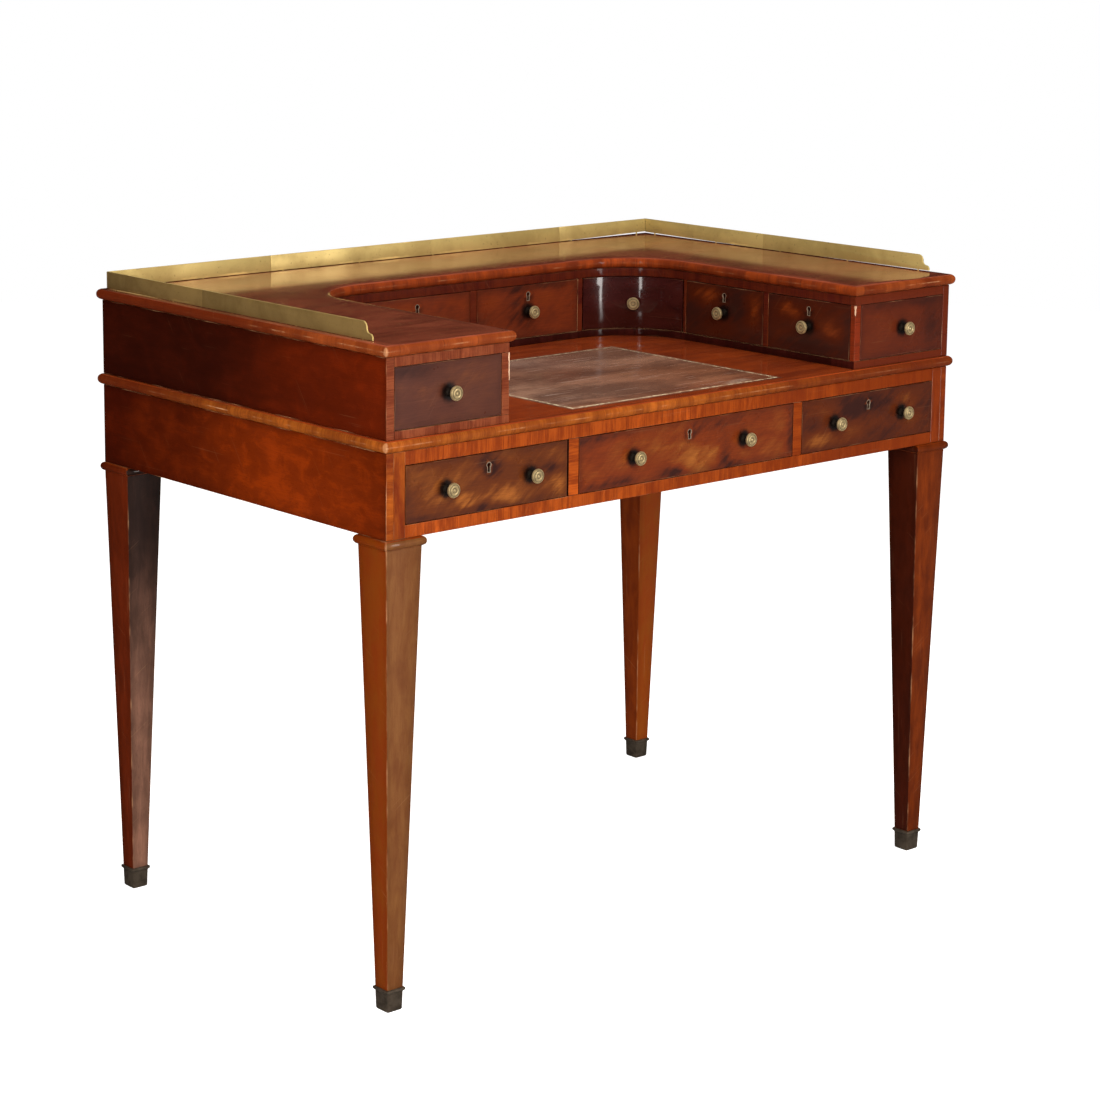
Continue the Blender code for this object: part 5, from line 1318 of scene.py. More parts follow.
def front_board_bm(width, height, thickness, edge, seed, shift=0.0):
    """A flat drawer front about the middle of its face, cut into a grid that can hold patches."""
    low = Vector((-width / 2 + shift, 0.0, -height / 2))
    high = Vector((width / 2 + shift, thickness, height / 2))
    bm = box_bm(low, high, edge)
    for axis, count in ((X, round(width / 0.007)), (Z, 12)):
        for step in range(1, count):
            place = low + (high - low) * step / count
            geometry = bm.verts[:] + bm.edges[:] + bm.faces[:]
            bmesh.ops.bisect_plane(bm, geom=geometry, plane_co=place, plane_no=AXES[axis])
    bm = settled(bm)
    cover_box(bm, low, high, X, seed)
    return bm


def join(bm, part, matrix=None):
    """Add one bmesh to another, and free it."""
    mesh = bpy.data.meshes.new("part")
    part.to_mesh(mesh)
    part.free()
    if matrix is not None:
        mesh.transform(matrix)
    bm.from_mesh(mesh)
    bpy.data.meshes.remove(mesh)


def lining_boards(bm, boards, seed):
    """Add plain boards to a mesh, each with its grain along its longest side."""
    map_layers(bm)
    for number, (low, high) in enumerate(boards):
        low, high = Vector(low), Vector(high)
        part = box_bm(low, high, 0.0004, 1)
        grain = max(range(3), key=lambda axis: (high - low)[axis])
        cover_box(part, low, high, grain, seed + number * 2.3)
        join(bm, part)


def check_built(*names):
    """Stop if a piece is missing, so that a half-built desk is never taken for a whole one."""
    missing = [name for name in names if name not in bpy.data.objects]
    if missing:
        raise RuntimeError(f"these pieces weren't built: {missing}")


class AddStage(bpy.types.Operator):
    """Add the pale floor, the soft lights and the camera"""

    bl_idname = "carlton_desk.add_stage"
    bl_label = "Stage"

    def execute(self, context):
        stage, colours = context.scene.desk_stage, context.scene.desk_colours
        self.add_floor(colours, stage)
        self.add_room(context.scene, stage)
        aim = Vector((0.0, 0.0, 0.55))
        for name, place, size, power, mirrored in (
            ("key_light", (-1.7, -3.3, 2.4), (2.2, 2.0), stage.key_power, False),
            ("fill_light", (-3.2, -0.9, 1.1), (0.8, 1.8), stage.fill_power, False),
            ("right_strip", (0.8, -3.0, 1.0), (0.5, 1.95), stage.strip_power, True),
            ("left_strip", (-2.6, -1.75, 1.0), (0.25, 1.95), stage.left_strip_power, True),
            ("overhead_light", (0.0, -0.4, 3.2), (2.4, 2.0), stage.overhead_power, False),
        ):
            self.add_light(name, Vector(place), aim, size, power, mirrored)
        self.add_camera(context.scene, stage)
        context.scene.view_settings.view_transform = "Standard"
        check_built("floor", "key_light", "camera")
        return {"FINISHED"}

    def add_floor(self, colours, stage):
        """A pale floor that the desk stands on and that mirrors little."""
        bm = bmesh.new()
        bmesh.ops.create_circle(bm, cap_ends=True, segments=96, radius=6.0)
        mesh = bpy.data.meshes.new("floor")
        bm.to_mesh(mesh)
        bm.free()
        floor = bpy.data.objects.new("floor", mesh)
        bpy.context.scene.collection.objects.link(floor)
        material, nodes, shader = new_material("studio_floor")
        place = nodes.place()
        grain = nodes.noise(place, 35.0, 3.0)
        pale = colours.floor
        seen = nodes.mix(nodes.times(grain, 0.05), pale, scaled(pale, 0.9))
        path = nodes.add("ShaderNodeLightPath").outputs
        nodes.feed(shader["Base Color"], nodes.mix(path["Is Glossy Ray"], seen, (0.0, 0.0, 0.0)))
        ahead = nodes.vector("DOT_PRODUCT", place, (0.62, -0.78, 0.0), "Value")
        mirrored = nodes.span(ahead, -0.6, 2.2, 0.012, stage.mirrored_floor)
        unseen = nodes.mix(path["Is Glossy Ray"], (0.0, 0.0, 0.0), nodes.grey(mirrored))
        nodes.feed(shader["Emission Color"], nodes.mix(path["Is Camera Ray"], unseen, (0.72, 0.72, 0.72)))
        shader["Emission Strength"].default_value = 1.0
        shader["Roughness"].default_value = 0.9
        shader["Specular IOR Level"].default_value = 0.1
        mesh.materials.append(material)

    def add_room(self, scene, stage):
        """The light of the room from all sides."""
        world = bpy.data.worlds.new("studio")
        scene.world = world
        world.use_nodes = True
        nodes = Nodes(world.node_tree)
        background = world.node_tree.nodes["Background"]
        path = nodes.add("ShaderNodeLightPath").outputs
        direction = nodes.add("ShaderNodeTexCoord").outputs["Generated"]
        towards = nodes.vector("DOT_PRODUCT", direction, (0.62, -0.76, 0.1), "Value")
        lit = nodes.span(towards, 0.1, 1.0, 0.05, 1.0)
        glossy = nodes.times(lit, stage.mirrored_surround)
        plain = nodes.mix(path["Is Glossy Ray"], (stage.surround,) * 3, nodes.grey(glossy))
        nodes.feed(background.inputs["Color"], nodes.mix(path["Is Camera Ray"], plain, (1.0, 1.0, 1.0)))
        background.inputs["Strength"].default_value = 1.0

    def add_light(self, name, place, aim, size, power, mirrored):
        """A soft lamp turned to the desk."""
        light = bpy.data.lights.new(name, "AREA")
        light.shape = "RECTANGLE"
        light.size, light.size_y = size
        light.energy = power
        light.color = (1.0, 0.98, 0.95)
        lamp = bpy.data.objects.new(name, light)
        bpy.context.scene.collection.objects.link(lamp)
        lamp.location = place
        lamp.visible_glossy = mirrored
        lamp.rotation_euler = (aim - place).to_track_quat("-Z", "Y").to_euler()

    def add_camera(self, scene, stage):
        """The camera, turned by yaw, pitch and roll and shifted as with a view camera."""
        yaw, pitch, roll = 0.6756, 0.1708, 0.0009
        place = (-2.6798, -3.0131 + 0.00575, 1.4365)
        level = math.cos(pitch)
        forward = Vector((math.sin(yaw) * level, math.cos(yaw) * level, -math.sin(pitch)))
        right = Vector((math.cos(yaw), -math.sin(yaw), 0.0))
        up = right.cross(forward)
        side = right * math.cos(roll) + up * math.sin(roll)
        head = up * math.cos(roll) - right * math.sin(roll)
        camera = bpy.data.objects.new("camera", bpy.data.cameras.new("camera"))
        scene.collection.objects.link(camera)
        turn = Matrix((side, head, -forward)).transposed().to_4x4()
        camera.matrix_world = Matrix.Translation(place) @ turn
        camera.data.sensor_width = 36.0
        camera.data.lens = stage.lens * 1000
        camera.data.shift_x = 0.1455
        camera.data.shift_y = -0.1593
        camera.data.clip_start, camera.data.clip_end = 0.1, 60.0
        scene.camera = camera


class AddLegs(bpy.types.Operator):
    """Add the four tapered legs with their collars"""

    bl_idname = "carlton_desk.add_legs"
    bl_label = "Legs"

    # The finish of each leg: its hidden sides, its left side and its front. The left side and the front get
    # lighter, darker or hazier copies of the leg's polish. These are partly painted light, painted shade and
    # painted haze, and partly a real difference in the wood.
    finishes = {
        "leg_front_left": ["leg_polish", "brown_leg", "hazy_front_leg"],
        "leg_front_right": ["leg_polish", "black_leg", "red_leg"],
        "leg_back_left": ["leg_polish", "dark_leg", "grey_leg"],
        "leg_back_right": ["leg_polish", "leg_polish", "golden_leg"],
    }
    steps = 14

    def execute(self, context):
        sizes = context.scene.desk_sizes
        for node, finishes in self.finishes.items():
            low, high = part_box(node)
            low_cap, high_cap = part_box(node.replace("leg", "cap"))
            foot = (low_cap + high_cap) / 2
            reach = sizes.leg_top_side / 2 + sizes.collar_projection
            head = Vector((
                high.x - reach if node.endswith("right") else low.x + reach,
                high.y - reach if "back" in node else low.y + reach,
                0.0,
            ))
            profile = self.profile(sizes)
            shoulder = profile[0][1] - sizes.collar_height
            rings = []
            for half, height, corner in profile:
                part = min(1.0, max(0.0, (shoulder - height) / (shoulder - sizes.cap_height)))
                centre = (head.x + (foot.x - head.x) * part, head.y + (foot.y - head.y) * part)
                rings.append(square_ring(half, height, centre, corner))
            add_post(node, node + "_post", rings, finishes, 40)
        return {"FINISHED"}

    def profile(self, sizes):
        """A leg from its top to its foot, as (half side, height, corner rounding)."""
        leg_top = sizes.leg_height - PLAY
        bead = sizes.collar_height / 2
        half, foot = sizes.leg_top_side / 2, sizes.leg_foot_side / 2
        points = []
        for reach, rise in arc((0.0, leg_top - bead), 1.0, 90, -90, 10):
            bulge = max(0.0, reach) * sizes.collar_projection
            height = leg_top - bead + (rise - leg_top + bead) * bead
            points.append((half + bulge, height, sizes.leg_corner + bulge * 0.1))
        low, high = sizes.cap_height + 2 * PLAY, leg_top - sizes.collar_height
        for step in range(1, self.steps + 1):
            part = step / self.steps
            points.append((half + (foot - half) * part, high + (low - high) * part, sizes.leg_corner))
        return points


class AddCaps(bpy.types.Operator):
    """Add the dark brass caps on the feet"""

    bl_idname = "carlton_desk.add_caps"
    bl_label = "Foot caps"

    thickness = 0.0007

    def execute(self, context):
        body = context.scene.desk_sizes.leg_foot_side / 2
        inner = body - self.thickness
        for end in ("front", "back"):
            for side, _ in SIDES:
                node = f"cap_{end}_{side}"
                low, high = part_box(node)
                middle, half, top = (low + high) / 2, (high.x - low.x) / 2, high.z
                profile = (
                    (inner - 0.0016, top - 0.006, 0.0008),
                    (inner - 0.0012, top, 0.0008),
                    (half - 0.0006, top, 0.0012),
                    (half, top - 0.0006, 0.0014),
                    (half, top - 0.003, 0.0014),
                    (half - 0.0008, top - 0.004, 0.0014),
                    (body + 0.0004, top - 0.005, 0.0012),
                    (body, top - 0.006, 0.0012),
                    (inner, 0.0024, 0.0012),
                    (inner - 0.0005, 0.001, 0.0012),
                    (inner - 0.0018, 0.0, 0.001),
                )
                rings = [square_ring(reach, height, middle, corner) for reach, height, corner in profile]
                add_post(node, node + "_brass", rings, ["cap_brass"], 30)
        return {"FINISHED"}


class AddFriezeCase(bpy.types.Operator):
    """Add the case under the writing top"""

    bl_idname = "carlton_desk.add_frieze_case"
    bl_label = "Frieze case"

    def execute(self, context):
        for side, sign in SIDES:
            self.add_side(f"case_side_{side}", sign)
            self.add_partition(f"frieze_partition_{side}")
        add_board("case_back", X, ["side_mahogany"], "mahogany")
        for name in ("frieze_rail_top", "frieze_rail_bottom"):
            add_board(name, X, ["top_mahogany", "rail_banding"], "crossbanded_mahogany", [(Y, -1), (Z, -1)])
        return {"FINISHED"}

    def add_side(self, node, sign):
        """A case side: its panel, the posts at its ends and the bearers inside it."""
        sizes = bpy.context.scene.desk_sizes
        low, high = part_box(node)
        outer, panel, post = sizes.case_half, sizes.case_half - sizes.panel_thickness, sizes.post_inner
        front, back, runner = low.y + sizes.post_depth, high.y - sizes.post_depth, post - sizes.runner_reach
        foot, head = low.z + 0.0001, high.z
        between, behind = (front + 0.0003, back), high.y - sizes.back_inset
        mesh_bm = bmesh.new()
        map_layers(mesh_bm)
        runner_top, guide_top = low.z + sizes.runner_height, low.z + sizes.guide_height
        for number, (board_low, board_high) in enumerate((
            ((panel, low.y, low.z), (outer - PLAY, high.y, head)),
            ((post, low.y, foot), (panel, front, head)),
            ((post, back, foot), (panel, behind, head)),
            ((runner, between[0], foot), (panel, between[1], runner_top)),
            ((post, between[0], runner_top + 0.0001), (panel, between[1], guide_top)),
            ((runner, between[0], head - sizes.kicker_height + 0.0001), (panel, between[1], head)),
        )):
            board_low, board_high = Vector(board_low), Vector(board_high)
            if sign < 0:
                board_low.x, board_high.x = -board_high.x, -board_low.x
            if number == 1:
                board_low.y += 0.00002
            part = box_bm(board_low, board_high, sizes.edge_round if number < 3 else 0.0003)
            cover_box(part, board_low, board_high, Z if number == 1 else Y, seed_of(node) + number)
            for face in part.faces:
                if number > 2:
                    face.material_index = 2
                elif number == 1 or face.normal.y < -SQUARE_ON:
                    face.material_index = 1
            join(mesh_bm, part)
        stile = "stile_mahogany" if sign < 0 else "red_stile"
        mesh = finish_mesh(mesh_bm, node + "_panel", ["side_mahogany", stile, "drawer_lining"])
        add_piece(node + "_panel", mesh, "desk", [node])

    def add_partition(self, node):
        """A partition between two frieze drawers, with the bearers on both its sides."""
        sizes = bpy.context.scene.desk_sizes
        low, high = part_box(node)
        left, right = ((low.x + high.x) / 2 + side * sizes.divider_half for side in (-1, 1))
        divider_y = low.y + sizes.divider_depth
        bearer_y = divider_y + 0.0002
        floor, ceiling = sizes.opening_foot, sizes.opening_head
        mesh_bm = bmesh.new()
        map_layers(mesh_bm)
        for number, (board_low, board_high) in enumerate((
            ((left, low.y, floor + PLAY), (right, divider_y, ceiling - PLAY)),
            ((left, divider_y, low.z), (right, high.y, high.z)),
            ((low.x, bearer_y, low.z), (high.x, high.y, floor - PLAY)),
            ((low.x, bearer_y, ceiling + PLAY), (high.x, high.y, high.z)),
        )):
            board_low, board_high = Vector(board_low), Vector(board_high)
            part = box_bm(board_low, board_high, 0.0003 if number else sizes.edge_round)
            cover_box(part, board_low, board_high, Y, seed_of(node) + number, () if number else [(Y, -1)])
            # The sides of the divider's front get the near-black painted shade of the drawer gaps.
            for face in part.faces:
                if number:
                    face.material_index = 2
                elif abs(face.normal.x) > 0.7:
                    face.material_index = 3
            join(mesh_bm, part)
        finishes = ["side_mahogany", "rail_banding", "drawer_lining", "shaded_opening"]
        mesh = finish_mesh(mesh_bm, node + "_divider", finishes)
        add_piece(node + "_divider", mesh, "desk", [node])


class AddWritingTop(bpy.types.Operator):
    """Add the moulded writing top with its crossbanded edge"""

    bl_idname = "carlton_desk.add_writing_top"
    bl_label = "Writing top"

    def execute(self, context):
        sizes = context.scene.desk_sizes
        low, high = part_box("writing_top")
        leather_low, leather_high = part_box("writing_leather")
        gap = 2 * PLAY
        hole = (
            (leather_low.x - gap, leather_low.y - gap),
            (leather_high.x + gap, leather_high.y + gap),
            high.z - leather_low.z + gap,
        )
        bm = moulded_bm(
            rectangle(low, high), low.z, high.z, sizes.nosing_radius, sizes.band_width - sizes.nosing_radius,
            seed=seed_of("writing_top"), hole=hole,
        )
        mesh = finish_mesh(bm, "writing_top_board", ["top_mahogany", "nosing_banding"])
        shade_smooth(mesh, 35)
        add_piece("writing_top_board", mesh, "desk", ["writing_top"])
        return {"FINISHED"}


class AddLeather(bpy.types.Operator):
    """Add the worn leather panel"""

    bl_idname = "carlton_desk.add_leather"
    bl_label = "Leather"

    def execute(self, context):
        low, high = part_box("writing_leather")
        bm = box_bm(low, high, 0.0004, 2)
        cover_box(bm, low, high, X, seed_of("leather"))
        mesh = finish_mesh(bm, "writing_leather_panel", ["worn_leather"])
        shade_smooth(mesh, 60)
        add_piece("writing_leather_panel", mesh, "desk", ["writing_leather"])
        return {"FINISHED"}


class AddUpperCase(bpy.types.Operator):
    """Add the boards and partitions of the case round the writing space"""

    bl_idname = "carlton_desk.add_upper_case"
    bl_label = "Upper case"

    def execute(self, context):
        banded = Z, ["side_mahogany", "inner_banding"], "crossbanded_mahogany"
        for side, _ in SIDES:
            add_board(f"upper_side_{side}", Y, ["upper_mahogany", "case_banding"], "mahogany", [(Y, -1)])
            for name in ("row_partition", "corner_partition", "arm_partition"):
                facing = [(Y, -1)] if name == "row_partition" else [(X, -1), (X, 1)]
                add_board(f"{name}_{side}", *banded, facing)
        add_board("row_partition_centre", *banded, [(Y, -1)])
        add_board("upper_back", X, ["upper_mahogany"], "mahogany")
        for name in ("upper_floor", "upper_ceiling"):
            self.add_flat(name)
        return {"FINISHED"}

    def add_flat(self, node):
        """A U-shaped board whose edges show under or over the drawers."""
        sizes = bpy.context.scene.desk_sizes
        low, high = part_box(node)
        low_z, top_z = low.z, high.z
        if node == "upper_floor":
            low_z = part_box("writing_top")[1].z + 2 * PLAY
            top_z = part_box("row_partition_centre")[0].z - 2 * PLAY
        outline = u_outline(high.x, high.y, low.y, -PLAY)
        bm = moulded_bm(outline, low_z, top_z, sizes.edge_round * 0.6, steps=2, seed=seed_of(node))
        if node == "upper_floor":
            self.add_guides(bm, high.z, top_z)
        for face in bm.faces:
            if face.material_index and face.calc_center_median().y > low.y + 0.001:
                face.material_index = 2
        inside = "dark_banding" if node == "upper_floor" else "inner_banding"
        mesh = finish_mesh(bm, node + "_board", ["drawer_lining", "case_banding", inside])
        shade_smooth(mesh, 30)
        add_piece(node + "_board", mesh, "desk", [node])

    def add_guides(self, bm, high_z, low_z):
        """The battens that guide the corner drawers."""
        sizes = bpy.context.scene.desk_sizes
        near = sizes.corner_box_width / 2 + 0.0005
        for side, _ in SIDES:
            matrix = drawer_frame("corner_" + side)[0]
            x, y, _ = matrix.translation
            base = Matrix.Translation((x, y, 0.0)) @ matrix.to_3x3().to_4x4()
            for sign in (-1, 1):
                edges = sorted((sign * near, sign * (near + 0.008)))
                part = bmesh.new()
                corners = ((edges[0], 0.02, low_z - 0.002), (edges[1], sizes.corner_box_depth - 0.008, high_z))
                lining_boards(part, [corners], 3.0 + sign)
                join(bm, part, base)


class AddArmEnds(bpy.types.Operator):
    """Add the false fronts and posts at the ends of the arms"""

    bl_idname = "carlton_desk.add_arm_ends"
    bl_label = "Arm ends"

    # The front and the post of each end.
    finishes = {
        "left": ("arm_end_veneer", "case_banding"),
        "right": ("red_arm_end_veneer", "post_banding"),
    }

    def execute(self, context):
        sizes = context.scene.desk_sizes
        for side, sign in SIDES:
            node = f"arm_end_{side}"
            low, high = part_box(node)
            inner = low.x if sign > 0 else high.x
            post = sorted((inner, inner + sign * sizes.post_width))
            post_low, post_high = Vector((post[0], low.y, low.z)), Vector((post[1], high.y, high.z))
            bm = box_bm(post_low, post_high, sizes.edge_round)
            cover_box(bm, post_low, post_high, Z, seed_of(node), [(Y, -1), (X, -1), (X, 1)])
            for face in bm.faces:
                face.material_index = 1
            front_inner = inner + sign * (sizes.post_width + sizes.front_gap)
            front_outer = high.x if sign > 0 else low.x
            width = abs(front_outer - front_inner) - 0.0004
            height = high.z - low.z - 0.0008
            centre = Vector(((front_inner + front_outer) / 2, low.y, (low.z + high.z) / 2))
            front = front_board_bm(width, height, high.y - low.y, sizes.edge_round, seed_of(node + "_front"))
            veneer, banding = self.finishes[side]
            mesh = finish_mesh(front, node + "_front", [veneer])
            paint_patches(mesh, node, width, height)
            add_piece(node + "_front", mesh, "desk", (), Matrix.Translation(centre))
            mesh = finish_mesh(bm, node + "_post", ["top_mahogany", banding])
            add_piece(node + "_post", mesh, "desk", [node])
            self.add_chip(node, inner, low.y, high.z, sign)
        return {"FINISHED"}

    def add_chip(self, node, x, y, top, sign):
        """Bare wood where the veneer has gone from the inner corner of an arm's end."""
        reach = 0.036 if sign < 0 else 0.014
        bm = bmesh.new()
        map_layers(bm)
        widths = (0.0016, 0.0023, 0.0013, 0.0011, 0.0016, 0.001, 0.0006)
        verts = []
        for step, width in enumerate(widths):
            z = top - 0.0004 - reach * step / (len(widths) - 1)
            around = ((-width, -0.0002), (0.0002, -0.0002), (0.0002, width), (-width * 0.5, width * 0.5))
            verts.append([bm.verts.new((x - sign * across, y + deep, z)) for across, deep in around])
        for upper, lower in zip(verts, verts[1:]):
            for index in range(4):
                after = (index + 1) % 4
                bm.faces.new((upper[index], lower[index], lower[after], upper[after]))
        bm.faces.new(verts[0])
        bm.faces.new(verts[-1][::-1])
        bmesh.ops.recalc_face_normals(bm, faces=bm.faces[:])
        low, high = Vector((x - 0.004, y, top - reach)), Vector((x + 0.004, y + 0.004, top))
        cover_box(bm, low, high, Z, 0.0)
        mesh = finish_mesh(bm, node + "_chip", ["bare_wood"])
        add_piece(node + "_chip", mesh, "desk", ())


class AddUpperTop(bpy.types.Operator):
    """Add the moulded top board of the upper case"""

    bl_idname = "carlton_desk.add_upper_top"
    bl_label = "Upper top"

    def execute(self, context):
        sizes = context.scene.desk_sizes
        low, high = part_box("upper_top")
        outline = u_outline(high.x, high.y, low.y, outer_lip())
        bm = moulded_bm(
            outline, low.z, high.z, sizes.nosing_radius, sizes.band_width - sizes.nosing_radius,
            seed=seed_of("upper_top"),
        )
        edge_x, front_y, back_y = (
            high.x - sizes.band_width, low.y + sizes.band_width, high.y - sizes.band_width)
        for face in bm.faces:
            place = face.calc_center_median()
            inside = abs(place.x) < edge_x and front_y < place.y < back_y
            if face.material_index and inside:
                face.material_index = 2
        mesh = finish_mesh(bm, "upper_top_board", ["worn_top", "upper_nosing", "inner_nosing"])
        shade_smooth(mesh, 35)
        add_piece("upper_top_board", mesh, "desk", ["upper_top"])
        return {"FINISHED"}


class AddGallery(bpy.types.Operator):
    """Add the low brass gallery"""

    bl_idname = "carlton_desk.add_gallery"
    bl_label = "Gallery"

    # Joints along the back as shares of half its length, then where the joint of each side is
    # behind the middle. The drops say how far each length has sunk towards the board at its start
    # and its end, from left to right and from back to front.
    back_joints = (-0.455, 0.636)
    back_drops = ((0.0026, 0.0026), (0.0026, 0.0026), (0.0026, 0.0002))
    left_joint, right_joint = 0.088, 0.055
    left_drops = ((0.0026, 0.0026), (0.0026, 0.0026))
    right_drops = ((0.001, 0.0026), (0.0026, 0.0016))

    def execute(self, context):
        sizes = context.scene.desk_sizes
        low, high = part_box("gallery")
        foot, thickness, gap = high.z - sizes.gallery_height, sizes.gallery_thickness, sizes.gallery_gap
        bm = bmesh.new()
        map_layers(bm)
        back_cuts = [low.x, *(share * high.x for share in self.back_joints), high.x]
        for start, end, drops in zip(back_cuts, back_cuts[1:], self.back_drops):
            corners = (start + gap / 2, high.y - thickness, foot), (end - gap / 2, high.y, high.z)
            self.add_length(bm, *corners, X, drops)
        ends = ((-1, self.left_joint, self.left_drops), (1, self.right_joint, self.right_drops))
        for sign, joint, drops in ends:
            inner, outer = sorted((sign * high.x, sign * (high.x - thickness)))
            corners = (inner, joint + gap / 2, foot), (outer, high.y - thickness - gap, high.z)
            self.add_length(bm, *corners, Y, drops[0][::-1])
            self.add_ogee(bm, inner, outer, low.y, joint - gap / 2, foot, high.z, drops[1][::-1])
        self.add_pegs(bm, low, high, foot, thickness)
        bm.normal_update()
        for face in bm.faces:
            # The outer faces of the strip get a darker copy of the gallery's brass.
            place = face.calc_center_median()
            outside = abs(place.x) > high.x - thickness / 4 or place.y > high.y - thickness / 4
            face.material_index = 1 if outside and abs(face.normal.z) < 0.5 else 0
        mesh = finish_mesh(bm, "gallery_brass", ["gallery_brass", "outer_gallery_brass"])
        shade_smooth(mesh, 35)
        add_piece("gallery_brass", mesh, "desk", ["gallery"])
        return {"FINISHED"}

    def add_length(self, bm, low, high, axis, drops):
        """A straight length of the strip."""
        low, high = Vector(low), Vector(high)
        part = box_bm(low, high, 0.0005, 2)
        self.sink(part, low.z, axis, low[axis], high[axis], drops)
        cover_box(part, low, high, axis, 0.0)
        join(bm, part)

    def sink(self, part, foot, axis, start, end, drops):
        """Lower the foot of a length, by one amount at its start and another at its end."""
        for vert in part.verts:
            if vert.co.z < foot + 0.004:
                along = (vert.co[axis] - start) / (end - start)
                vert.co.z -= drops[0] + (drops[1] - drops[0]) * along

    def add_ogee(self, bm, inner, outer, front_y, back_y, foot, top, drops):
        """The front length of a side strip: a round toe, a hollow and a round shoulder."""
        height = top - foot
        toe, hollow, shoulder = height * 0.28, height * 0.3, height * 0.42
        outline = arc((front_y + toe, foot), toe, 180, 90, 8)
        outline += arc((front_y + toe, foot + toe + hollow), hollow, -90, 0, 8)[1:]
        centre = (front_y + toe + hollow + shoulder, foot + toe + hollow)
        outline += arc(centre, shoulder, 180, 90, 8)[1:]
        outline += [(back_y, top), (back_y, foot)]
        part = moulded_bm(outline, inner, outer, 0.0003, steps=2)
        across = Matrix(((0, 0, 1, 0), (1, 0, 0, 0), (0, 1, 0, 0), (0, 0, 0, 1)))
        bmesh.ops.transform(part, matrix=across, verts=part.verts)
        for face in part.faces:
            face.material_index = 0
        self.sink(part, foot - 0.003, Y, front_y, back_y, drops)
        join(bm, part)

    def add_pegs(self, bm, low, high, foot, thickness):
        """The small pegs that carry it."""
        middle_y, middle_x = high.y - thickness / 2, high.x - thickness / 2
        wide, deep = high.x - low.x - 0.042, high.y - low.y - 0.045
        # The first peg's distance from the end, and each peg's radius and its depth in the brass.
        first, radius, sunk = 0.021, 0.0011, 0.002
        places = [(low.x + first + wide * step / 7, middle_y) for step in range(8)]
        for sign in (-1, 1):
            places += [(sign * middle_x, low.y + first + deep * step / 4) for step in range(5)]
        for x, y in places:
            matrix = Matrix.Translation((x, y, (low.z + foot + sunk) / 2))
            bmesh.ops.create_cone(
                bm, cap_ends=True, segments=12, radius1=radius, radius2=radius,
                depth=foot + sunk - low.z, matrix=matrix,
            )


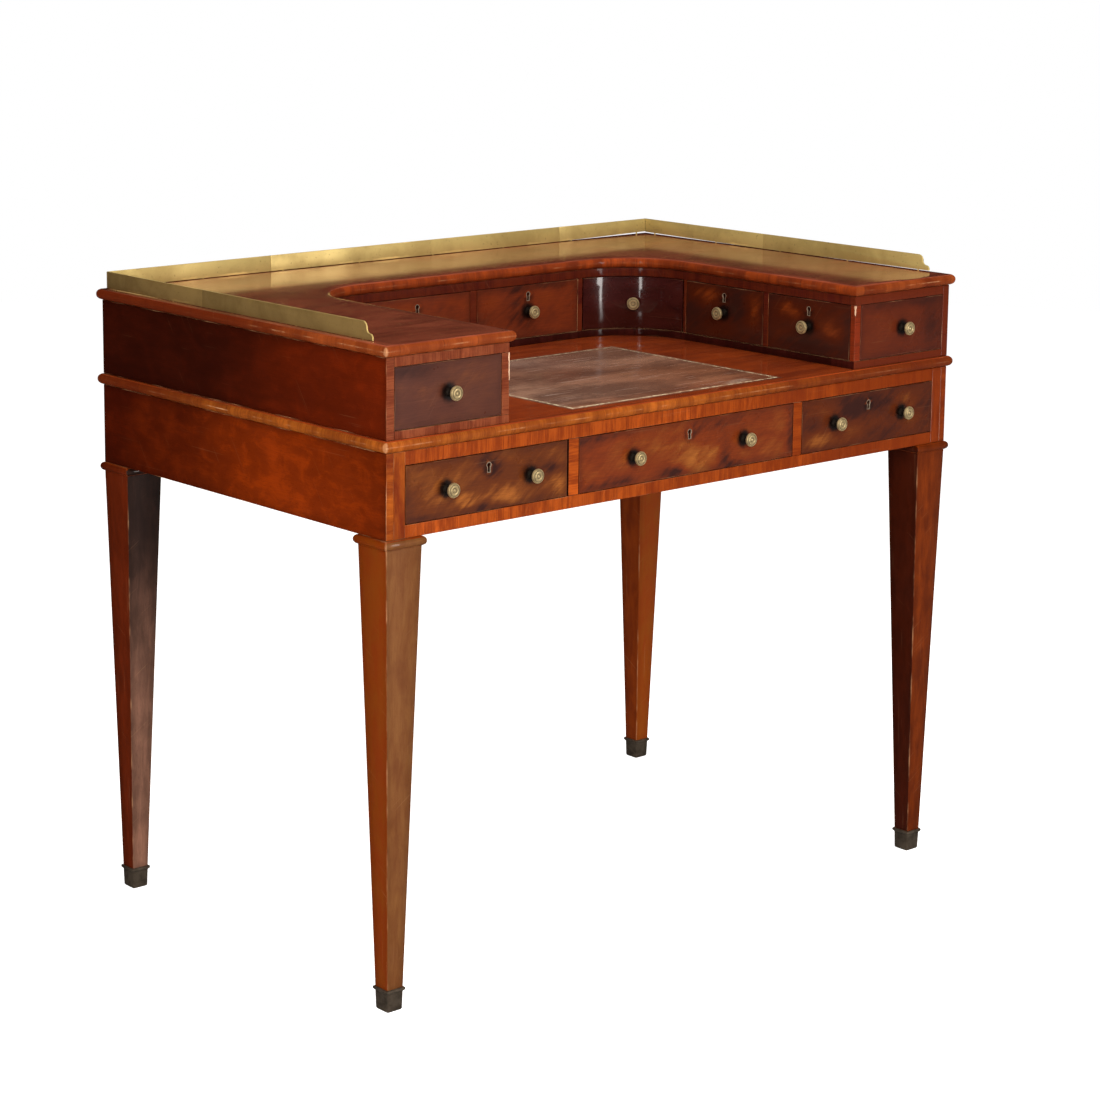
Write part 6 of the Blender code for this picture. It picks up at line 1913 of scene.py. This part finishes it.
class AddDrawers(bpy.types.Operator):
    """Add the eleven drawers, each with its front and its box"""

    bl_idname = "carlton_desk.add_drawers"
    bl_label = "Drawers"

    def execute(self, context):
        for body in sorted(frame["bodies"]):
            if body == "desk":
                continue
            if body.startswith("corner"):
                self.add_concave(body)
            else:
                self.add_straight(body)
        return {"FINISHED"}

    def add_straight(self, name):
        """A drawer with a flat front."""
        sizes = bpy.context.scene.desk_sizes
        matrix, width, height, depth = drawer_frame(name)
        frieze = name.startswith("frieze")
        thickness = sizes.frieze_front if frieze else sizes.upper_front
        wall = sizes.frieze_wall if frieze else sizes.upper_wall
        front_width = width - 2 * sizes.front_gap
        shift = 0.0
        if name == "frieze_left":
            front_width -= sizes.wide_gap - sizes.front_gap
            shift = -(sizes.wide_gap - sizes.front_gap) / 2
        front_height = height - 2 * sizes.front_gap
        bm = front_board_bm(front_width, front_height, thickness, sizes.edge_round, seed_of(name), shift)
        flame = {"frieze": name.split("_")[1] + "_flame", "row": "row_flame", "arm": "arm_flame"}
        mesh = finish_mesh(bm, name + "_front", [flame[name.split("_")[0]]])
        rise = sizes.frieze_keyhole_rise if frieze else sizes.upper_keyhole_rise
        paint_patches(mesh, name, front_width, front_height, rise)
        front = add_piece(name + "_front", mesh, name, [name + "_drawer"], matrix)
        self.cut_keyhole(front, matrix, rise)
        boards = self.box_boards(width / 2 - 0.0005, height, thickness, depth, wall)
        self.add_box(name, boards, matrix)

    def cut_keyhole(self, front, matrix, rise):
        """Cut the keyhole into a front."""
        cutter = moulded_bm(keyhole_outline(0.0), -0.007, 0.002, 0.0, steps=1)
        bmesh.ops.remove_doubles(cutter, verts=cutter.verts[:], dist=0.00001)
        bmesh.ops.dissolve_degenerate(cutter, edges=cutter.edges[:], dist=0.00001)
        mesh = bpy.data.meshes.new("keyhole")
        bmesh.ops.recalc_face_normals(cutter, faces=cutter.faces[:])
        cutter.to_mesh(mesh)
        cutter.free()
        place = Matrix.Translation((0.0, 0.0, rise)) @ Matrix.Rotation(math.radians(90), 4, "X")
        cut_away(front, mesh, matrix @ place)
        bpy.data.meshes.remove(mesh)

    def box_boards(self, half, height, front, depth, wall):
        """A drawer's sides, back and bottom, as corners in the drawer's own frame."""
        sizes = bpy.context.scene.desk_sizes
        low, high = PLAY - height / 2, height / 2 - sizes.box_drop
        bottom = sizes.bottom_rise - height / 2
        top = bottom + sizes.bottom_thickness
        return [
            ((-half, front - 0.0002, low), (-half + wall, depth, high)),
            ((half - wall, front - 0.0002, low), (half, depth, high)),
            ((-half + wall, depth - wall, bottom), (half - wall, depth, high - 0.003)),
            ((-half + wall, front - 0.0002, bottom), (half - wall, depth - wall, top)),
        ]

    def add_box(self, name, boards, matrix):
        """A drawer's box as one piece."""
        bm = bmesh.new()
        map_layers(bm)
        lining_boards(bm, boards, seed_of(name))
        mesh = finish_mesh(bm, name + "_box", ["drawer_lining"])
        add_piece(name + "_box", mesh, name, (), matrix)

    def add_concave(self, name):
        """A corner drawer, its front curved and its ends cut along its travel."""
        sizes = bpy.context.scene.desk_sizes
        matrix, width, height, depth = drawer_frame(name)
        radius, thickness = sizes.corner_radius, sizes.upper_front
        half = width / 2 - sizes.front_gap
        outline = []
        for reach, towards in ((radius, 1), (radius + thickness, -1)):
            spread = math.degrees(math.asin(half / reach))
            outline += arc((0.0, -radius), reach, 90 + towards * spread, 90 - towards * spread, 28)
        low = sizes.front_gap - height / 2
        bm = moulded_bm(outline, low, -low, sizes.edge_round * 0.7, steps=2, seed=seed_of(name))
        mesh = finish_mesh(bm, name + "_front", ["corner_mahogany", "corner_mahogany"])
        shade_smooth(mesh, 30)
        add_piece(name + "_front", mesh, name, [name + "_drawer"], matrix)
        wall = sizes.upper_wall
        half_box = sizes.corner_box_width / 2
        boards = self.box_boards(half_box, height, 0.0, depth, wall)
        side_start = math.sqrt((radius + thickness) ** 2 - half_box**2) - radius
        boards[0] = ((-half_box, side_start + 0.001, boards[0][0][2]), boards[0][1])
        boards[1] = ((half_box - wall, side_start + 0.001, boards[1][0][2]), boards[1][1])
        boards[3] = ((boards[3][0][0], thickness - 0.001, boards[3][0][2]), boards[3][1])
        self.add_box(name, boards, matrix)


class AddKnobs(bpy.types.Operator):
    """Add the turned brass knobs"""

    bl_idname = "carlton_desk.add_knobs"
    bl_label = "Knobs"

    def execute(self, context):
        mesh = self.knob_mesh(context.scene.desk_sizes)
        bodies = frame["record"]["behaviour"]["bodies"]
        owners = {node: body for body, nodes in bodies.items() for node in nodes}
        for node in sorted(frame["nodes"]):
            if "knob" not in node:
                continue
            body = owners[node]
            add_piece(node + "_turned", mesh, body, [node], self.knob_matrix(node, body))
        return {"FINISHED"}

    def knob_matrix(self, node, body):
        """The knob's place: its axis out of the face that it stands on."""
        low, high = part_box(node)
        middle = (low + high) / 2
        turn = 0
        if body.startswith("arm"):
            turn = 90 if "_left" in body else -90
        if body.startswith("corner"):
            turn = 45 if "left" in body else -45
        rotation = Matrix.Rotation(math.radians(turn), 4, "Z") @ Matrix.Rotation(math.radians(90), 4, "X")
        outward = rotation.to_3x3() @ Vector((0.0, 0.0, 1.0))
        points = [vertex.co.dot(outward) for vertex in frame["nodes"][node].data.vertices]
        centre = middle - outward * middle.dot(outward)
        if body.startswith("corner"):
            base, _, _, _ = drawer_frame(body)
            centre = base.translation - outward * base.translation.dot(outward)
            centre.z = middle.z
        face = max(points) - bpy.context.scene.desk_sizes.knob_projection
        return Matrix.Translation(centre + outward * face) @ rotation

    # From the middle of the face to the foot: the distance from the axis as a share of the radius,
    # and the depth behind the top in metres.
    outline = (
        (0.0, 0.0002), (0.12, 0.0003), (0.22, 0.0009), (0.27, 0.0013), (0.33, 0.0012), (0.42, 0.0004),
        (0.55, 0.0001), (0.66, 0.0005), (0.72, 0.001), (0.77, 0.001), (0.84, 0.0006), (0.93, 0.001),
        (0.985, 0.002), (1.0, 0.003), (0.985, 0.004), (0.92, 0.0052), (0.78, 0.0064), (0.62, 0.0076),
        (0.5, 0.0088), (0.45, 0.0102), (0.45, 0.0124), (0.48, 0.014), (0.54, 0.0149), (0.62, 0.0154),
        (0.64, 0.0164),
    )
    foot = ((0.62, 0.0001), (0.0, 0.0001))
    stem_depth = 0.007

    def knob_mesh(self, sizes):
        """A knob with a boss and rings turned in its face."""
        radius, top = sizes.knob_diameter / 2, sizes.knob_projection
        profile = [(radius * part, top - depth) for part, depth in self.outline]
        profile += [(radius * part, height) for part, height in self.foot]
        bm = turned_bm(profile, 40)
        bm.normal_update()
        for face in bm.faces:
            face.material_index = 1 if face.calc_center_median().z < top - self.stem_depth else 0
        mesh = finish_mesh(bm, "knob", ["knob_brass", "knob_stem"])
        shade_smooth(mesh, 50)
        return mesh


class AddKeyholes(bpy.types.Operator):
    """Add the brass threads of the keyholes"""

    bl_idname = "carlton_desk.add_keyholes"
    bl_label = "Keyholes"

    def execute(self, context):
        sizes = context.scene.desk_sizes
        mesh = self.thread_mesh(sizes)
        for body in sorted(frame["bodies"]):
            if body == "desk" or body.startswith("corner"):
                continue
            rise = sizes.frieze_keyhole_rise if body.startswith("frieze") else sizes.upper_keyhole_rise
            place = drawer_frame(body)[0] @ Matrix.Translation((0.0, 0.0, rise))
            add_piece(body + "_keyhole", mesh, body, (), place)
        return {"FINISHED"}

    def thread_mesh(self, sizes):
        """A thread that lines the keyhole, a hair proud of the front."""
        outer, inner = keyhole_outline(0.00005), keyhole_outline(sizes.thread_width)
        bm = bmesh.new()
        rings = []
        for outline, depth in ((outer, 0.0015), (outer, -0.00025), (inner, -0.00025), (inner, 0.0015)):
            rings.append([bm.verts.new((x, depth, z)) for x, z in outline])
        count = len(outer)
        for first, second in zip(rings, rings[1:] + rings[:1]):
            for index in range(count):
                after = (index + 1) % count
                bm.faces.new((first[index], second[index], second[after], first[after]))
        mesh = finish_mesh(bm, "keyhole_thread", ["thread_brass"])
        return mesh


class DeskPanel(bpy.types.Panel):
    """Buttons for the desk's pieces, and its sizes and colours"""

    bl_idname = "VIEW3D_PT_carlton_desk"
    bl_label = "Carlton House Desk"
    bl_space_type = "VIEW_3D"
    bl_region_type = "UI"
    bl_category = "Desk"

    def draw(self, context):
        for operator in OPERATORS:
            self.layout.operator(operator.bl_idname)
        for group in (context.scene.desk_sizes, context.scene.desk_colours, context.scene.desk_stage):
            box = self.layout.box()
            for name in group.__annotations__:
                box.prop(group, name)


SETTINGS = {"desk_sizes": DeskSizes, "desk_colours": DeskColours, "desk_stage": DeskStage}
OPERATORS = (
    AddStage,
    AddLegs,
    AddCaps,
    AddFriezeCase,
    AddWritingTop,
    AddLeather,
    AddUpperCase,
    AddArmEnds,
    AddUpperTop,
    AddGallery,
    AddDrawers,
    AddKnobs,
    AddKeyholes,
)


def register():
    """Register the settings, the operators and the panel."""
    for name, group in SETTINGS.items():
        bpy.utils.register_class(group)
        setattr(bpy.types.Scene, name, PointerProperty(type=group))
    for operator in OPERATORS:
        bpy.utils.register_class(operator)
    bpy.utils.register_class(DeskPanel)


def unregister():
    """Take them away again."""
    bpy.utils.unregister_class(DeskPanel)
    for operator in reversed(OPERATORS):
        bpy.utils.unregister_class(operator)
    for name, group in SETTINGS.items():
        delattr(bpy.types.Scene, name)
        bpy.utils.unregister_class(group)


def main():
    """Build the whole desk on its stage."""
    register()
    for operator in OPERATORS:
        getattr(bpy.ops.carlton_desk, operator.bl_idname.split(".")[1])()
    bpy.context.view_layer.update()


if __name__ == "__main__":
    main()
